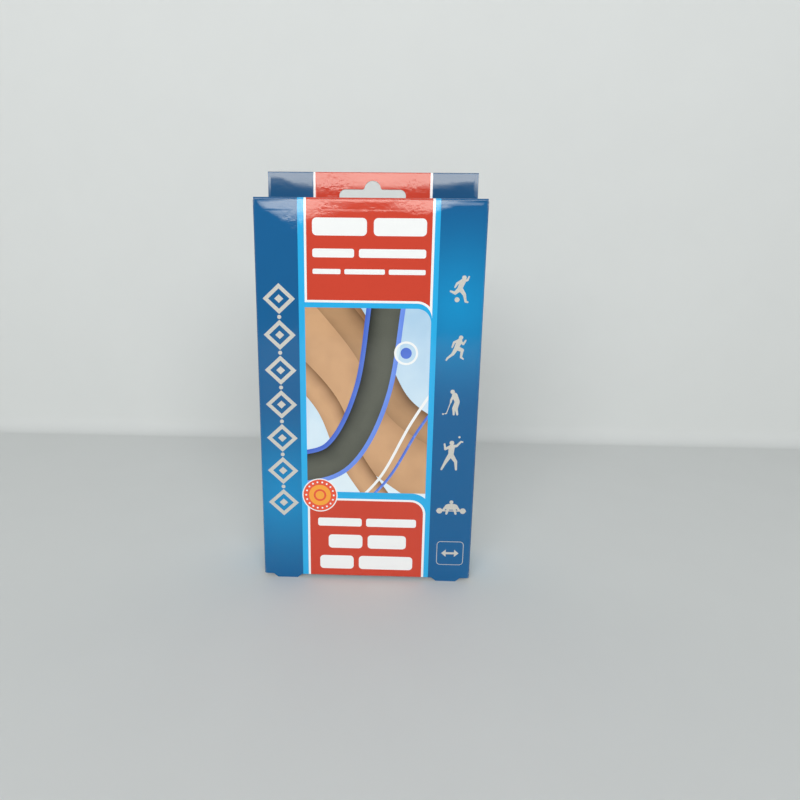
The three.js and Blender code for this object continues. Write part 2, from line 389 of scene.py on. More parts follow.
def laminate(tree, shader):
    """The gentle waves, the crinkles and the fine peel of the film over the print."""
    surface = place_group(tree, surface_group, Wave=0.7, Crinkle=1.0, Peel=1.0)
    add_bump(tree, shader, surface.outputs["Height"], SURFACE_BUMP, SURFACE_DISTANCE)


def printed_ink(name, colour, drift=0.06, tooth=0.04):
    """An ink below the film. Its colour is plain, or a function that adds the nodes of a gradient."""
    material, tree, shader = start_material(name)
    if callable(colour):
        colour = colour(tree)
    ink = place_group(tree, ink_group, Ink=colour, Drift=drift, Tooth=tooth)
    tree.links.new(ink.outputs["Color"], shader.inputs["Base Color"])
    tree.links.new(ink.outputs["Roughness"], shader.inputs["Roughness"])
    laminate(tree, shader)
    inks[name] = material


for values in FLAT_INKS:
    printed_ink(**values)
print("flat inks:", len(inks))

# %% [markdown]
# The blue columns are printed with two soft glows, one in the upper half on the right and one low on
# the left. A glow is a round gradient around a point: the distance from that point, turned into a mask.
# From 206 mm up, over the top of the front, the lid and the tab, the blue turns darker by height: that is
# painted shade.

# %% Blue ink with its glows and painted shade on the tab
BLUE_DEEP = srgb(12, 92, 145)
BLUE_BRIGHT = srgb(12, 143, 200)
# painted shade: the darker blue given to the top of the carton and the tab
BLUE_TAB_PAINTED_SHADE = srgb(20, 80, 124)
TAB_SHADE = (0.206, 0.222)
GLOWS = [
    {"x": 46.0, "z": 159.0, "inner": -10.0, "outer": 60.0, "strength": 1.0},
    {"x": -46.0, "z": 51.0, "inner": -10.0, "outer": 60.0, "strength": 0.85},
]


def add_vector_math(tree, operation, *values, output="Vector"):
    node = tree.nodes.new("ShaderNodeVectorMath")
    node.operation = operation
    for socket, value in zip(node.inputs, values):
        feed(tree, socket, value)
    return node.outputs[output]


def glow_mask(tree, place, glow):
    shifted = add_vector_math(tree, "SUBTRACT", place, (glow["x"] * MM, 0.0, glow["z"] * MM))
    flat = add_vector_math(tree, "MULTIPLY", shifted, (1.0, 0.0, 1.0))
    distance = add_vector_math(tree, "LENGTH", flat, output="Value")
    return add_range(tree, distance, glow["inner"] * MM, glow["outer"] * MM, glow["strength"], 0.0)


def blue_colour(tree):
    place = object_place(tree)
    glowing = add_math(tree, "MAXIMUM", *[glow_mask(tree, place, glow) for glow in GLOWS])
    split = tree.nodes.new("ShaderNodeSeparateXYZ")
    tree.links.new(place, split.inputs["Vector"])
    # painted shade: the blue darkens by height over the top of the front, the lid and the tab
    on_tab = add_range(tree, split.outputs["Z"], *TAB_SHADE)
    return add_mix(tree, on_tab, add_mix(tree, glowing, BLUE_DEEP, BLUE_BRIGHT), BLUE_TAB_PAINTED_SHADE)


printed_ink("blue_ink", blue_colour)
print("glows in the blue ink:", len(GLOWS))

# %% [markdown]
# The inks of the picture run softly from dark to light, with a faint cloudiness. The mesh says how light
# each corner is in its "tone" attribute, so one ink serves a whole ribbon.

# %% Inks with a tone
TONED_INKS = [
    ("tan_ink", srgb(128, 90, 58), srgb(208, 163, 122), 0.05, 0.05),
    ("sand_ink", srgb(112, 80, 54), srgb(180, 140, 102), 0.05, 0.05),
    ("charcoal_ink", srgb(38, 40, 36), srgb(92, 94, 84), 0.12, 0.22),
    ("piping_ink", srgb(66, 100, 200), srgb(116, 152, 238), 0.05, 0.05),
    ("pale_blue_ink", srgb(176, 208, 232), srgb(226, 240, 247), 0.05, 0.05),
]
CLOUD = 0.12


def toned(dark, light):
    """The colour between dark and light that the mesh asks for."""

    def colour(tree):
        noise = add_noise(tree, object_place(tree), 60.0, 2.0)
        cloud = add_range(tree, noise, 0.2, 0.8, -CLOUD, CLOUD)
        soft = add_math(tree, "ADD", add_attribute(tree, "tone"), cloud, clamp=True)
        return add_mix(tree, soft, dark, light)

    return colour


for name, dark, light, drift, tooth in TONED_INKS:
    printed_ink(name, toned(dark, light), drift, tooth)
print("inks with a tone:", len(TONED_INKS))

# %% [markdown]
# Silver ink holds tiny metal flakes in a clear binder, so it is partly metallic, with a fine sparkle
# below a thin coat. Those values are plain numbers, and only the colour varies.

# %% Silver ink
material, tree, shader = start_material("silver_ink")
sparkle = add_range(tree, add_noise(tree, object_place(tree), 5200.0, 1.0), 0.3, 0.75)
flakes = add_mix(tree, sparkle, srgb(204, 201, 193), srgb(226, 223, 214))
ink = place_group(tree, ink_group, Ink=flakes, Drift=0.08, Tooth=0.05)
tree.links.new(ink.outputs["Color"], shader.inputs["Base Color"])
shader.inputs["Metallic"].default_value = 0.35
shader.inputs["Roughness"].default_value = 0.3
shader.inputs["Coat Weight"].default_value = 0.6
shader.inputs["Coat Roughness"].default_value = 0.07
laminate(tree, shader)
inks["silver_ink"] = material
print("silver ink is metallic by", round(shader.inputs["Metallic"].default_value, 2))

# %% [markdown]
# The inside, the flaps and every cut edge show bare paper. They share the fibre group, each with its own
# colours, specks and roughness.

# %% Raw board and edges
FIBRE_HEIGHT = 0.0001


def fibre_material(name, pale, dark, speck, roughness, bump):
    material, tree, shader = start_material(name)
    fibre = place_group(tree, fibre_group, Pale=pale, Dark=dark, Speck=speck)
    tree.links.new(fibre.outputs["Color"], shader.inputs["Base Color"])
    shader.inputs["Roughness"].default_value = roughness
    add_bump(tree, shader, fibre.outputs["Height"], bump, FIBRE_HEIGHT)
    inks[name] = material


fibre_material("grey_back", srgb(196, 190, 178), srgb(168, 160, 146), 0.5, 0.85, 0.5)
fibre_material("raw_edge", srgb(240, 238, 230), srgb(208, 202, 190), 0.25, 0.9, 0.8)
fibre_material("bare_white", srgb(236, 236, 232), srgb(222, 221, 215), 0.08, 0.5, 0.25)
print("materials:", sorted(inks))

# %% [markdown]
# Every folded piece follows a path: straight runs and round folds, walked along the printed face. The
# path is a list of stretches, and each knows where it starts. For any distance along it there is one
# place. Beyond its ends the path goes on straight, because the slope at an edge is measured there.

# %% The path of a fold
QUARTER = math.pi / 2


def way(angle):
    """The unit vector along this angle, in the plane of the path."""
    return np.array([math.cos(angle), math.sin(angle)])


def across(angle):
    return np.array([-math.sin(angle), math.cos(angle)])


def fold_path(start, heading, steps, side=1):
    """Where each stretch starts. side 1 keeps the board on the left of the way, -1 on the right."""
    stretches = []
    place, angle, distance = np.array(start, float), heading, 0.0
    for step in steps:
        if "run" in step:
            stretches.append(("run", distance, place, angle, 0.0))
            place = place + step["run"] * way(angle)
            distance += step["run"]
        else:
            radius = step["radius"]
            stretches.append(("fold", distance, place, angle, radius))
            centre = place + side * radius * across(angle)
            angle += side * step["turn"]
            place = centre - side * radius * across(angle)
            distance += radius * step["turn"]
    stretches.append(("run", distance, place, angle, 0.0))
    return {"stretches": stretches, "side": side, "length": distance}


def along(path, distance):
    """Points of the path at these distances, as two arrays."""
    distance = np.asarray(distance, float)
    result = np.zeros((len(distance), 2))
    side = path["side"]
    starts = np.array([stretch[1] for stretch in path["stretches"]])
    which = np.clip(np.searchsorted(starts, distance, side="right") - 1, 0, len(starts) - 1)
    for index, (kind, start, place, angle, radius) in enumerate(path["stretches"]):
        chosen = which == index
        run = distance[chosen] - start
        if kind == "run":
            result[chosen] = place + run[:, None] * way(angle)
        else:
            centre = place + side * radius * across(angle)
            turned = angle + side * run / radius
            spoke = np.stack([np.sin(turned), -np.cos(turned)], axis=1)
            result[chosen] = centre + side * radius * spoke
    return result


print(f"a quarter fold of {FOLD} mm radius takes {QUARTER * FOLD:.2f} mm of board")

# %% [markdown]
# Flat shapes for the print: rectangles, discs and rounded corners. Each returns the points of one closed
# outline in millimetres.

# %% Flat shapes


def rectangle(left, right, bottom, top):
    return [(left, bottom), (right, bottom), (right, top), (left, top)]


def arc(centre, radius, start, end, steps=10):
    turns = np.radians(np.linspace(start, end, steps + 1))
    return [(centre[0] + radius * math.cos(t), centre[1] + radius * math.sin(t)) for t in turns]


def disc(centre, radius, steps=40):
    return arc(centre, radius, 0, 360 - 360 / steps, steps - 1)


def rounded(left, right, bottom, top, radius, steps=6):
    return [
        *arc((left + radius, bottom + radius), radius, 180, 270, steps),
        *arc((right - radius, bottom + radius), radius, 270, 360, steps),
        *arc((right - radius, top - radius), radius, 0, 90, steps),
        *arc((left + radius, top - radius), radius, 90, 180, steps),
    ]


print("points of a disc:", len(disc((0, 0), 1)))

# %% [markdown]
# Limbs of a figure are rounded strokes, and the ribbons of the picture are bands along a smooth line. A
# Catmull-Rom curve goes through each of its points, which makes it easy to lay over a sketch.

# %% Strokes and ribbons


def stroke(start, end, radius, end_radius=None, steps=6):
    """A limb: a rounded stroke that may taper from one end to the other."""
    end_radius = radius if end_radius is None else end_radius
    start, end = np.array(start, float), np.array(end, float)
    heading = math.degrees(math.atan2(*(end - start)[::-1]))
    return [
        *arc(start, radius, heading + 90, heading + 270, steps),
        *arc(end, end_radius, heading - 90, heading + 90, steps),
    ]


def smooth_line(points, steps=12):
    """A smooth line through a few points, as a Catmull-Rom curve."""
    points = np.array(points, float)
    padded = np.vstack([2 * points[0] - points[1], points, 2 * points[-1] - points[-2]])
    line = []
    for a, b, c, d in zip(padded, padded[1:], padded[2:], padded[3:]):
        for t in np.linspace(0, 1, steps, endpoint=False):
            square = (2 * a - 5 * b + 4 * c - d) * t**2
            cube = (3 * b - a - 3 * c + d) * t**3
            line.append(0.5 * (2 * b + (c - a) * t + square + cube))
    return np.array([*line, points[-1]])


def line_normals(line):
    """The unit vector across a line at each of its points."""
    slope = np.gradient(line, axis=0)
    normal = np.stack([-slope[:, 1], slope[:, 0]], axis=1)
    return normal / np.linalg.norm(normal, axis=1)[:, None]


def ribbon(points, width):
    """A band of even width along a smooth line."""
    line = smooth_line(points)
    half = line_normals(line) * width / 2
    return [*map(tuple, line + half), *map(tuple, (line - half)[::-1])]


print("points of a short ribbon:", len(ribbon([(0, 0), (4, 2), (8, 0)], 1.0)))

# %% [markdown]
# The next cells are the heart of the script. They take a flat blank with holes, the printed shapes on it
# and the way it is folded. A Delaunay triangulation cuts the sheet along every outline at once, so an
# edge of ink is a real edge of the mesh. The printed face is then folded, copied inwards by the thickness
# of the board, and closed along its rim with raw edge. The normals come from the folded shape itself,
# which keeps reflections smooth over triangles of any size. Two small questions come first: how worn a
# fold is, and which points lie inside an outline.

# %% Wear along a fold, and the inside of an outline


def fold_wear(path, distance, strength):
    """How worn the print is at these distances along a path: most along the ridge of each fold."""
    worn = np.zeros(len(distance))
    starts = [stretch[1] for stretch in path["stretches"]]
    for (kind, start, *_), end in zip(path["stretches"], starts[1:]):
        if kind == "fold":
            reach = (end - start) / 2
            worn = np.maximum(worn, np.clip(1 - np.abs(distance - start - reach) / reach, 0, 1) ** 2)
    return strength * worn


def inside(points, outline):
    """For each point, whether it lies inside the closed outline."""
    outline = np.asarray(outline, float)
    low, high = outline.min(axis=0), outline.max(axis=0)
    result = np.zeros(len(points), bool)
    near = np.flatnonzero(np.all((points >= low) & (points <= high), axis=1))
    x, y = points[near, 0][:, None], points[near, 1][:, None]
    ax, ay = outline[:, 0], outline[:, 1]
    bx, by = np.roll(ax, -1), np.roll(ay, -1)
    spans = (ay > y) != (by > y)
    with np.errstate(divide="ignore", invalid="ignore"):
        cross = ax + (y - ay) / (by - ay) * (bx - ax)
    result[near] = (np.sum(spans & (x < cross), axis=1) % 2) == 1
    return result


square = rectangle(0, 1, 0, 1)
print("points inside a square:", inside(np.array([[0.1, 0.1], [0.5, 2.0]]), square).tolist())

# %% [markdown]
# The triangulation takes the outline, the holes, the printed shapes and the fold lines as fixed edges. A
# loose grid keeps the triangles even, and a piece may ask for closer points where it bends softly.

# %% Cut the blank into triangles
GRID = 5.0
MERGE_DISTANCE = 1e-4


def triangulate(outline, holes, shapes, fold_lines, close_points):
    """Points and triangles of the flat blank, cut along every outline."""
    low, high = np.min(outline, axis=0), np.max(outline, axis=0)
    points, edges = [], []
    for loop in [outline, *holes, *[shape[1] for shape in shapes]]:
        first = len(points)
        points.extend(loop)
        edges.extend((first + i, first + (i + 1) % len(loop)) for i in range(len(loop)))
    for axis, value in fold_lines:
        first = len(points)
        ends = np.array([low - 1, high + 1])
        ends[:, axis] = value
        points.extend(ends.tolist())
        edges.append((first, first + 1))
    grid_x = np.arange(low[0] + GRID / 2, high[0], GRID)
    grid_y = np.arange(low[1] + GRID / 2, high[1], GRID)
    points.extend((x, y) for x in grid_x for y in grid_y)
    points.extend(close_points)
    made = delaunay_2d_cdt([Vector(point) for point in points], edges, [], 0, MERGE_DISTANCE)
    flat = np.array([tuple(vertex) for vertex in made[0]])
    triangles = np.array(made[2])
    middle = flat[triangles].mean(axis=1)
    kept = inside(middle, outline)
    for hole in holes:
        kept &= ~inside(middle, hole)
    return flat, triangles[kept], middle[kept]


print("points of the loose grid are", GRID, "mm apart")

# %% [markdown]
# Fingers crinkle the film where they close the lid and hold the tab, so the crackle lies in patches
# there. Elsewhere only a trace of it is left.

# %% Crackle of the film
CRACKLES = [
    {"x": -22.0, "z": 206.0, "reach": 8.0, "amount": 2.2},
    {"x": -41.0, "z": 198.0, "reach": 6.0, "amount": 2.0},
    {"x": 4.0, "z": 207.0, "reach": 8.0, "amount": 1.4},
    {"x": 24.0, "z": 203.0, "reach": 9.0, "amount": 1.8},
    {"x": -21.0, "z": 224.0, "reach": 9.0, "amount": 2.2},
    {"x": 22.0, "z": 223.0, "reach": 8.0, "amount": 1.2},
]
CRACKLE_BASE = 0.25


def crackle(points):
    """How crinkled the film is at each point: a little everywhere, more in patches near the top."""
    total = np.full(len(points), CRACKLE_BASE)
    for patch in CRACKLES:
        squared = (points[:, 0] - patch["x"]) ** 2 + (points[:, 2] - patch["z"]) ** 2
        total += patch["amount"] * np.exp(-squared / patch["reach"] ** 2)
    return total


print("patches of crackle:", len(CRACKLES))

# %% [markdown]
# One piece needs four things besides its triangles. Inks are laid in the order of their list, as in a
# press, so a later one covers those before it. The folded place of each point comes with the direction
# that the board faces there. Both sides and the rim between them close the solid, and the normals on the
# rim are flat, because a cut edge is sharp.

# %% Inks, folded points, faces and normals
SLOPE_STEP = 0.02
EVEN_TONE = 0.5


def lay_inks(flat, triangles, middle, shapes, base):
    """The piece's materials, the one on each printed triangle, and a tone for each of its corners."""
    slots = ["grey_back", "raw_edge", base]
    printed = np.full(len(triangles), slots.index(base))
    tones = np.full(3 * len(triangles), EVEN_TONE)
    for ink_name, shape, *tone in shapes:
        if ink_name not in slots:
            slots.append(ink_name)
        covered = inside(middle, shape)
        printed[covered] = slots.index(ink_name)
        if tone:
            tones[np.repeat(covered, 3)] = tone[0](flat[triangles[covered].ravel()])
    return slots, printed, tones


def fold_points(flat, folded):
    """The printed face's points where the folds put them, and the way it faces at each."""
    slope_x = folded(flat + [SLOPE_STEP, 0]) - folded(flat - [SLOPE_STEP, 0])
    slope_y = folded(flat + [0, SLOPE_STEP]) - folded(flat - [0, SLOPE_STEP])
    normal = np.cross(slope_x, slope_y)
    return folded(flat), normal / np.linalg.norm(normal, axis=1)[:, None]


def solid_faces(triangles, count):
    """The printed face, the inner face and the rim: count is how many points each face has."""
    sides = np.vstack([triangles[:, [0, 1]], triangles[:, [1, 2]], triangles[:, [2, 0]]])
    pairs = {tuple(pair) for pair in sides}
    faces = [*triangles, *(triangles[:, ::-1] + count)]
    faces += [(b, a, a + count, b + count) for a, b in pairs if (b, a) not in pairs]
    return [list(map(int, face)) for face in faces]


def set_normals(mesh, faces, normal, half):
    """Smooth normals on the printed and the inner face, with half of the faces each, flat on the rim."""
    flat_normals = np.zeros(len(faces) * 3)
    mesh.polygons.foreach_get("normal", flat_normals)
    corners = []
    for index, (face, flat_normal) in enumerate(zip(faces, flat_normals.reshape(-1, 3))):
        if index < half:
            corners.extend(normal[i] for i in face)
        elif index < 2 * half:
            corners.extend(-normal[i - len(normal)] for i in face)
        else:
            corners.extend([flat_normal] * len(face))
    mesh.normals_split_custom_set([tuple(corner) for corner in corners])


print("slopes are measured over", 2 * SLOPE_STEP, "mm")

# %% [markdown]
# With these a piece is made in one go. It also stores how worn, how crinkled and how light it is, hides
# the node that it stands for, and hangs from the empty of the body that carries it.

# %% Make a folded piece of board


def store(mesh, name, domain, values):
    mesh.attributes.new(name, "FLOAT", domain).data.foreach_set("value", values)


def board_piece(
    name, node, body, outline, folded, shapes,
    holes=(), fold_lines=(), base="blue_ink", wear=None, close_points=(),
):
    """A solid, folded and printed piece of board that stands for one node of the frame."""
    flat, triangles, middle = triangulate(outline, holes, shapes, fold_lines, close_points)
    used, triangles = np.unique(triangles, return_inverse=True)
    flat, triangles = flat[used], triangles.reshape(-1, 3)
    slots, printed, tones = lay_inks(flat, triangles, middle, shapes, base)
    outer, normal = fold_points(flat, folded)
    faces = solid_faces(triangles, len(flat))
    rim_count = len(faces) - 2 * len(triangles)

    mesh = bpy.data.meshes.new(name)
    both_sides = np.vstack([outer, outer - normal * BOARD])
    mesh.from_pydata((both_sides * MM).tolist(), [], faces)
    for slot in slots:
        mesh.materials.append(inks[slot])
    indices = [*printed.tolist(), *[0] * len(triangles), *[1] * rim_count]
    mesh.polygons.foreach_set("material_index", indices)
    mesh.polygons.foreach_set("use_smooth", [True] * len(faces))
    mesh.update()
    set_normals(mesh, faces, normal, len(triangles))

    nowhere = np.zeros(len(flat))
    store(mesh, "wear", "POINT", np.concatenate([wear(flat) if wear else nowhere, nowhere]))
    store(mesh, "crackle", "POINT", np.tile(crackle(outer), 2))
    store(mesh, "tone", "CORNER", np.concatenate([tones, np.zeros(len(mesh.loops) - len(tones))]))

    piece = bpy.data.objects.new(name, mesh)
    bpy.context.scene.collection.objects.link(piece)
    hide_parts(node)
    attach(piece, body)
    print(f"{name}: {len(faces)} faces, {len(slots)} materials")


print("board is", BOARD, "mm thick")

# %% [markdown]
# The front panel's print in millimetres, measured from its left edge and from the ground. Blue columns
# stand left and right. Between them cyan lines frame a red head panel, a picture and a red foot panel,
# and where those panels meet at the right, the frame sweeps round in an arc.

# %% Print of the front panel
LEFT_BLUE = 22.9
LEFT_CYAN = 26.2
LEFT_WHITE = 27.4
RIGHT_WHITE = 91.8
RIGHT_CYAN = 93.1
RIGHT_BLUE = 95.8
SWEEP = 8.0
SWEEP_STEP = 0.5
LINE = 1.2
HEAD_BOTTOM = 160.3
FOOT_TOP = 50.3
PICTURE_TOP = 157.6
PICTURE_BOTTOM = 54.3
PICTURE_RIGHT = 92.7
ABOVE_FOLD = 300.0
BELOW_FOLD = -20.0


def head_panel(line, left, right):
    """The panel above the sweep: its lower right corner runs out in a point along the arc."""
    centre = (RIGHT_CYAN - SWEEP, HEAD_BOTTOM - SWEEP)
    radius = SWEEP + line
    reach = math.degrees(math.acos(min(1.0, (right - centre[0]) / radius)))
    return [
        (left, HEAD_BOTTOM + line),
        *arc(centre, radius, 90, reach),
        (right, ABOVE_FOLD),
        (left, ABOVE_FOLD),
    ]


def foot_panel(line, left, right):
    radius = SWEEP + SWEEP_STEP - line
    return [
        (left, BELOW_FOLD),
        (right, BELOW_FOLD),
        *arc((right - radius, FOOT_TOP - line - radius), radius, 0, 90),
        (left, FOOT_TOP - line),
    ]


def picture_panel():
    foot_centre = (RIGHT_CYAN - SWEEP - SWEEP_STEP, FOOT_TOP - SWEEP - SWEEP_STEP)
    radius = PICTURE_BOTTOM - foot_centre[1]
    reach = math.degrees(math.acos((PICTURE_RIGHT - foot_centre[0]) / radius))
    top_radius = SWEEP - SWEEP_STEP
    return [
        (LEFT_CYAN, PICTURE_BOTTOM),
        *arc(foot_centre, radius, 90, reach),
        *arc((PICTURE_RIGHT - top_radius, PICTURE_TOP - top_radius), top_radius, 0, 90),
        (LEFT_CYAN, PICTURE_TOP),
    ]


print("points around the picture:", len(picture_panel()))

# %% [markdown]
# Rows of plain bars fill the red panels. Each row has a height and a level, and each bar has its two
# ends. Two tables hold the rows.

# %% Rows of bars


def bar_rows(rows):
    """Plain bars with round corners: each row has a height, a level and the ends of its bars."""
    bars = []
    for row in rows:
        for left, right in row["bars"]:
            half = row["height"] / 2
            bars.append(rounded(left, right, row["level"] - half, row["level"] + half, half * 0.5, 4))
    return bars


HEAD_ROWS = [
    {"level": 198.6, "height": 8.8, "bars": [(30.5, 58.5), (62.0, 89.0)]},
    {"level": 185.5, "height": 4.4, "bars": [(30.5, 52.0), (54.5, 89.0)]},
    {"level": 176.2, "height": 2.6, "bars": [(30.5, 45.0), (47.0, 68.0), (70.0, 89.0)]},
]
FOOT_ROWS = [
    {"level": 35.8, "height": 5.0, "bars": [(32.0, 57.0), (59.5, 88.0)]},
    {"level": 23.8, "height": 8.4, "bars": [(38.0, 57.5), (60.5, 82.5)]},
    {"level": 10.6, "height": 8.4, "bars": [(33.0, 52.5), (55.5, 86.5)]},
]
print("bars:", len(bar_rows(HEAD_ROWS)), "in the head and", len(bar_rows(FOOT_ROWS)), "in the foot")

# %% [markdown]
# The picture is a free pattern of crossing ribbons in the warm, dark and blue tones of such a print. Its
# ribbons leave the picture at its edges, so they are cut to the picture's own outline. A ribbon is laid
# down in a few layers of falling width. They give the mesh points across it, and each of its corners
# stores a tone there, so that the ink runs softly from dark to light as in a printed photograph.

# %% The picture
PICTURE_RIBBONS = [
    ("tan_ink", [(14, 176), (42, 142), (60, 96), (108, 58)], 40.0),
    ("sand_ink", [(30, 172), (58, 138), (77, 104), (106, 84)], 15.0),
    ("tan_ink", [(12, 134), (37, 106), (51, 74), (74, 40)], 13.0),
    ("piping_ink", [(16, 66), (44, 76), (62, 112), (70, 166)], 20.4),
    ("charcoal_ink", [(16, 66), (44, 76), (62, 112), (70, 166)], 15.4),
    ("white_print", [(42, 38), (66, 62), (84, 96), (104, 128)], 1.5),
    ("piping_ink", [(48, 38), (71, 62), (88, 92), (106, 118)], 1.5),
]
PICTURE_DISCS = [
    ("white_print", (80.0, 134.0), 6.4),
    ("pale_blue_ink", (80.0, 134.0), 5.2),
    ("piping_ink", (80.0, 134.0), 3.0),
]
RIBBON_LAYERS = (1.0, 0.8, 0.55, 0.25)
LIT_SIDE = 0.3


def across_ribbon(points, width):
    """How light a ribbon is at a point: it bends like a cloth roll that is lit from its upper side."""
    line = smooth_line(points)
    normal = line_normals(line)

    def tone(flat):
        offset = flat[:, None, :] - line[None, :, :]
        nearest = np.argmin(np.sum(offset**2, axis=2), axis=1)
        rows = np.arange(len(flat))
        side = np.sum(offset[rows, nearest] * normal[nearest], axis=1) / (width / 2)
        return np.clip(1 - ((side + LIT_SIDE) / (1 + LIT_SIDE)) ** 2, 0, 1)

    return tone


def picture_sky(flat):
    """The ground of the picture is palest at its foot."""
    return np.clip((PICTURE_TOP - flat[:, 1]) / (PICTURE_TOP - PICTURE_BOTTOM), 0, 1)


def cut_to(outline, axis, limit, sign):
    """Cuts an outline at one straight line, keeping the side that sign names."""
    kept = []
    for start, end in zip(outline, [*outline[1:], outline[0]]):
        start, end = np.array(start), np.array(end)
        start_in = sign * (start[axis] - limit) >= 0
        end_in = sign * (end[axis] - limit) >= 0
        if start_in:
            kept.append(tuple(start))
        if start_in != end_in:
            share = (limit - start[axis]) / (end[axis] - start[axis])
            kept.append(tuple(start + share * (end - start)))
    return kept


def inside_picture(outline):
    """The part of a convex or gently curved outline that lies in the picture."""
    for axis, low, high in ((0, LEFT_CYAN, PICTURE_RIGHT), (1, PICTURE_BOTTOM, PICTURE_TOP)):
        outline = cut_to(cut_to(outline, axis, low, 1), axis, high, -1)
    return outline


print("ribbons in the picture:", len(PICTURE_RIBBONS))

# %% [markdown]
# A round badge covers the picture's lower left corner: rings in two warm inks, with a circle of small
# dots.

# %% The badge
BADGE_CENTRE = (33.2, 52.0)
BADGE_RINGS = [("white_print", 10.0, 40), ("orange_ink", 9.4, 40), ("yellow_ink", 6.2, 40)]
BADGE_HEART = [("orange_ink", 3.6, 28), ("yellow_ink", 2.5, 24)]
DOT_CIRCLE = 7.8
DOT_TURN = 20
DOT_RADIUS = 0.55


def badge():
    shapes = [(ink, disc(BADGE_CENTRE, radius, steps)) for ink, radius, steps in BADGE_RINGS]
    for turn in range(0, 360, DOT_TURN):
        spot = arc(BADGE_CENTRE, DOT_CIRCLE, turn, turn + 1, 1)[0]
        shapes.append(("white_print", disc(spot, DOT_RADIUS, 10)))
    return shapes + [(ink, disc(BADGE_CENTRE, radius, steps)) for ink, radius, steps in BADGE_HEART]


print("shapes in the badge:", len(badge()))

# %% [markdown]
# Sports pictograms are common figures: a round head and tapering strokes for body, arms and legs. Each
# is a short table of strokes around its own origin between the feet, so that every figure stays easy to
# change.

# %% Table of the pictograms
PICTOGRAMS = [
    {
        "place": (107.2, 161.0),
        "head": (1.9, 12.9, 1.15),
        "strokes": [
            ((1.2, 10.9), (-0.2, 7.4), 1.5, 1.25),
            ((0.2, 7.0), (2.3, 4.3), 1.25, 0.85),
            ((2.3, 4.3), (3.0, 0.9), 0.8, 0.6),
            ((3.0, 0.7), (4.2, 0.4), 0.55, 0.42),
            ((-0.4, 6.9), (-2.6, 5.0), 1.2, 0.85),
            ((-2.6, 5.0), (-4.9, 5.9), 0.75, 0.5),
            ((0.7, 11.3), (-1.7, 9.9), 0.75, 0.6),
            ((-1.7, 9.9), (-2.7, 8.0), 0.6, 0.45),
            ((1.6, 11.1), (3.6, 11.7), 0.7, 0.55),
            ((3.6, 11.7), (4.3, 13.4), 0.5, 0.4),
        ],
        "balls": [(-1.4, 1.6, 1.3)],
    },
    {
        "place": (107.2, 130.4),
        "head": (1.6, 12.4, 1.15),
        "strokes": [
            ((0.9, 10.5), (-0.6, 7.0), 1.5, 1.2),
            ((-0.2, 6.8), (2.5, 5.7), 1.2, 0.95),
            ((2.5, 5.7), (2.0, 2.2), 0.8, 0.6),
            ((2.0, 1.9), (3.2, 1.0), 0.6, 0.4),
            ((-0.7, 6.6), (-2.4, 3.6), 1.15, 0.85),
            ((-2.4, 3.6), (-5.2, 1.3), 0.75, 0.5),
            ((-5.2, 1.3), (-5.7, 0.3), 0.55, 0.42),
            ((1.1, 10.5), (2.9, 9.0), 0.7, 0.6),
            ((2.9, 9.0), (4.1, 10.9), 0.6, 0.45),
            ((0.5, 10.9), (-2.0, 9.8), 0.75, 0.6),
            ((-2.0, 9.8), (-2.9, 7.2), 0.6, 0.42),
        ],
        "balls": [],
    },
    {
        "place": (106.9, 100.2),
        "head": (-1.3, 13.2, 1.2),
        "strokes": [
            ((-0.1, 11.2), (1.4, 7.8), 1.55, 1.35),
            ((1.5, 7.3), (1.0, 3.9), 1.2, 0.85),
            ((1.0, 3.9), (1.7, 0.6), 0.8, 0.58),
            ((1.0, 7.2), (-0.4, 4.0), 1.1, 0.8),
            ((-0.4, 4.0), (-0.2, 0.6), 0.75, 0.55),
            ((-0.7, 11.0), (-1.9, 8.6), 0.75, 0.6),
            ((-1.9, 8.6), (-2.1, 7.2), 0.6, 0.48),
            ((-2.1, 7.4), (-4.2, 1.1), 0.24, 0.22),
            ((-4.2, 1.1), (-5.0, 0.9), 0.35, 0.3),
        ],
        "balls": [(-6.0, 0.7, 0.5)],
    },
    {
        "place": (106.4, 68.4),
        "head": (0.0, 16.1, 1.3),
        "strokes": [
            ((0.0, 13.6), (-0.3, 9.4), 1.7, 1.45),
            ((-0.9, 8.7), (-3.2, 4.8), 1.3, 0.9),
            ((-3.2, 4.8), (-5.2, 0.7), 0.85, 0.55),
            ((0.2, 8.7), (2.5, 5.2), 1.3, 0.9),
            ((2.5, 5.2), (2.9, 0.7), 0.85, 0.58),
            ((0.8, 14.1), (2.8, 14.5), 0.85, 0.7),
            ((2.8, 14.5), (5.0, 16.9), 0.65, 0.5),
            ((-0.8, 14.0), (-3.5, 12.5), 0.85, 0.65),
            ((-3.5, 12.5), (-4.0, 15.4), 0.6, 0.5),
            ((5.0, 16.9), (5.9, 16.7), 0.5, 0.42),
        ],
        "balls": [(4.0, 19.5, 0.62)],
    },
    {
        "place": (107.6, 42.0),
        "head": (0.0, 7.5, 1.1),
        "strokes": [
            ((-1.7, 4.7), (1.7, 4.7), 1.75, 1.75),
            ((-2.5, 5.2), (-4.6, 2.5), 0.95, 0.6),
            ((2.5, 5.2), (4.6, 2.5), 0.95, 0.6),
            ((-1.6, 4.2), (-2.6, 0.5), 0.9, 0.6),
            ((1.6, 4.2), (2.6, 0.5), 0.9, 0.6),
            ((-8.2, 2.2), (8.2, 2.2), 0.32, 0.32),
        ],
        "balls": [(-6.6, 2.2, 1.7), (6.6, 2.2, 1.7)],
    },
]
print("pictograms in the table:", len(PICTOGRAMS))

# %% [markdown]
# A figure is drawn by moving its strokes to its place on the panel. Balls are discs, like the heads.

# %% Draw a pictogram


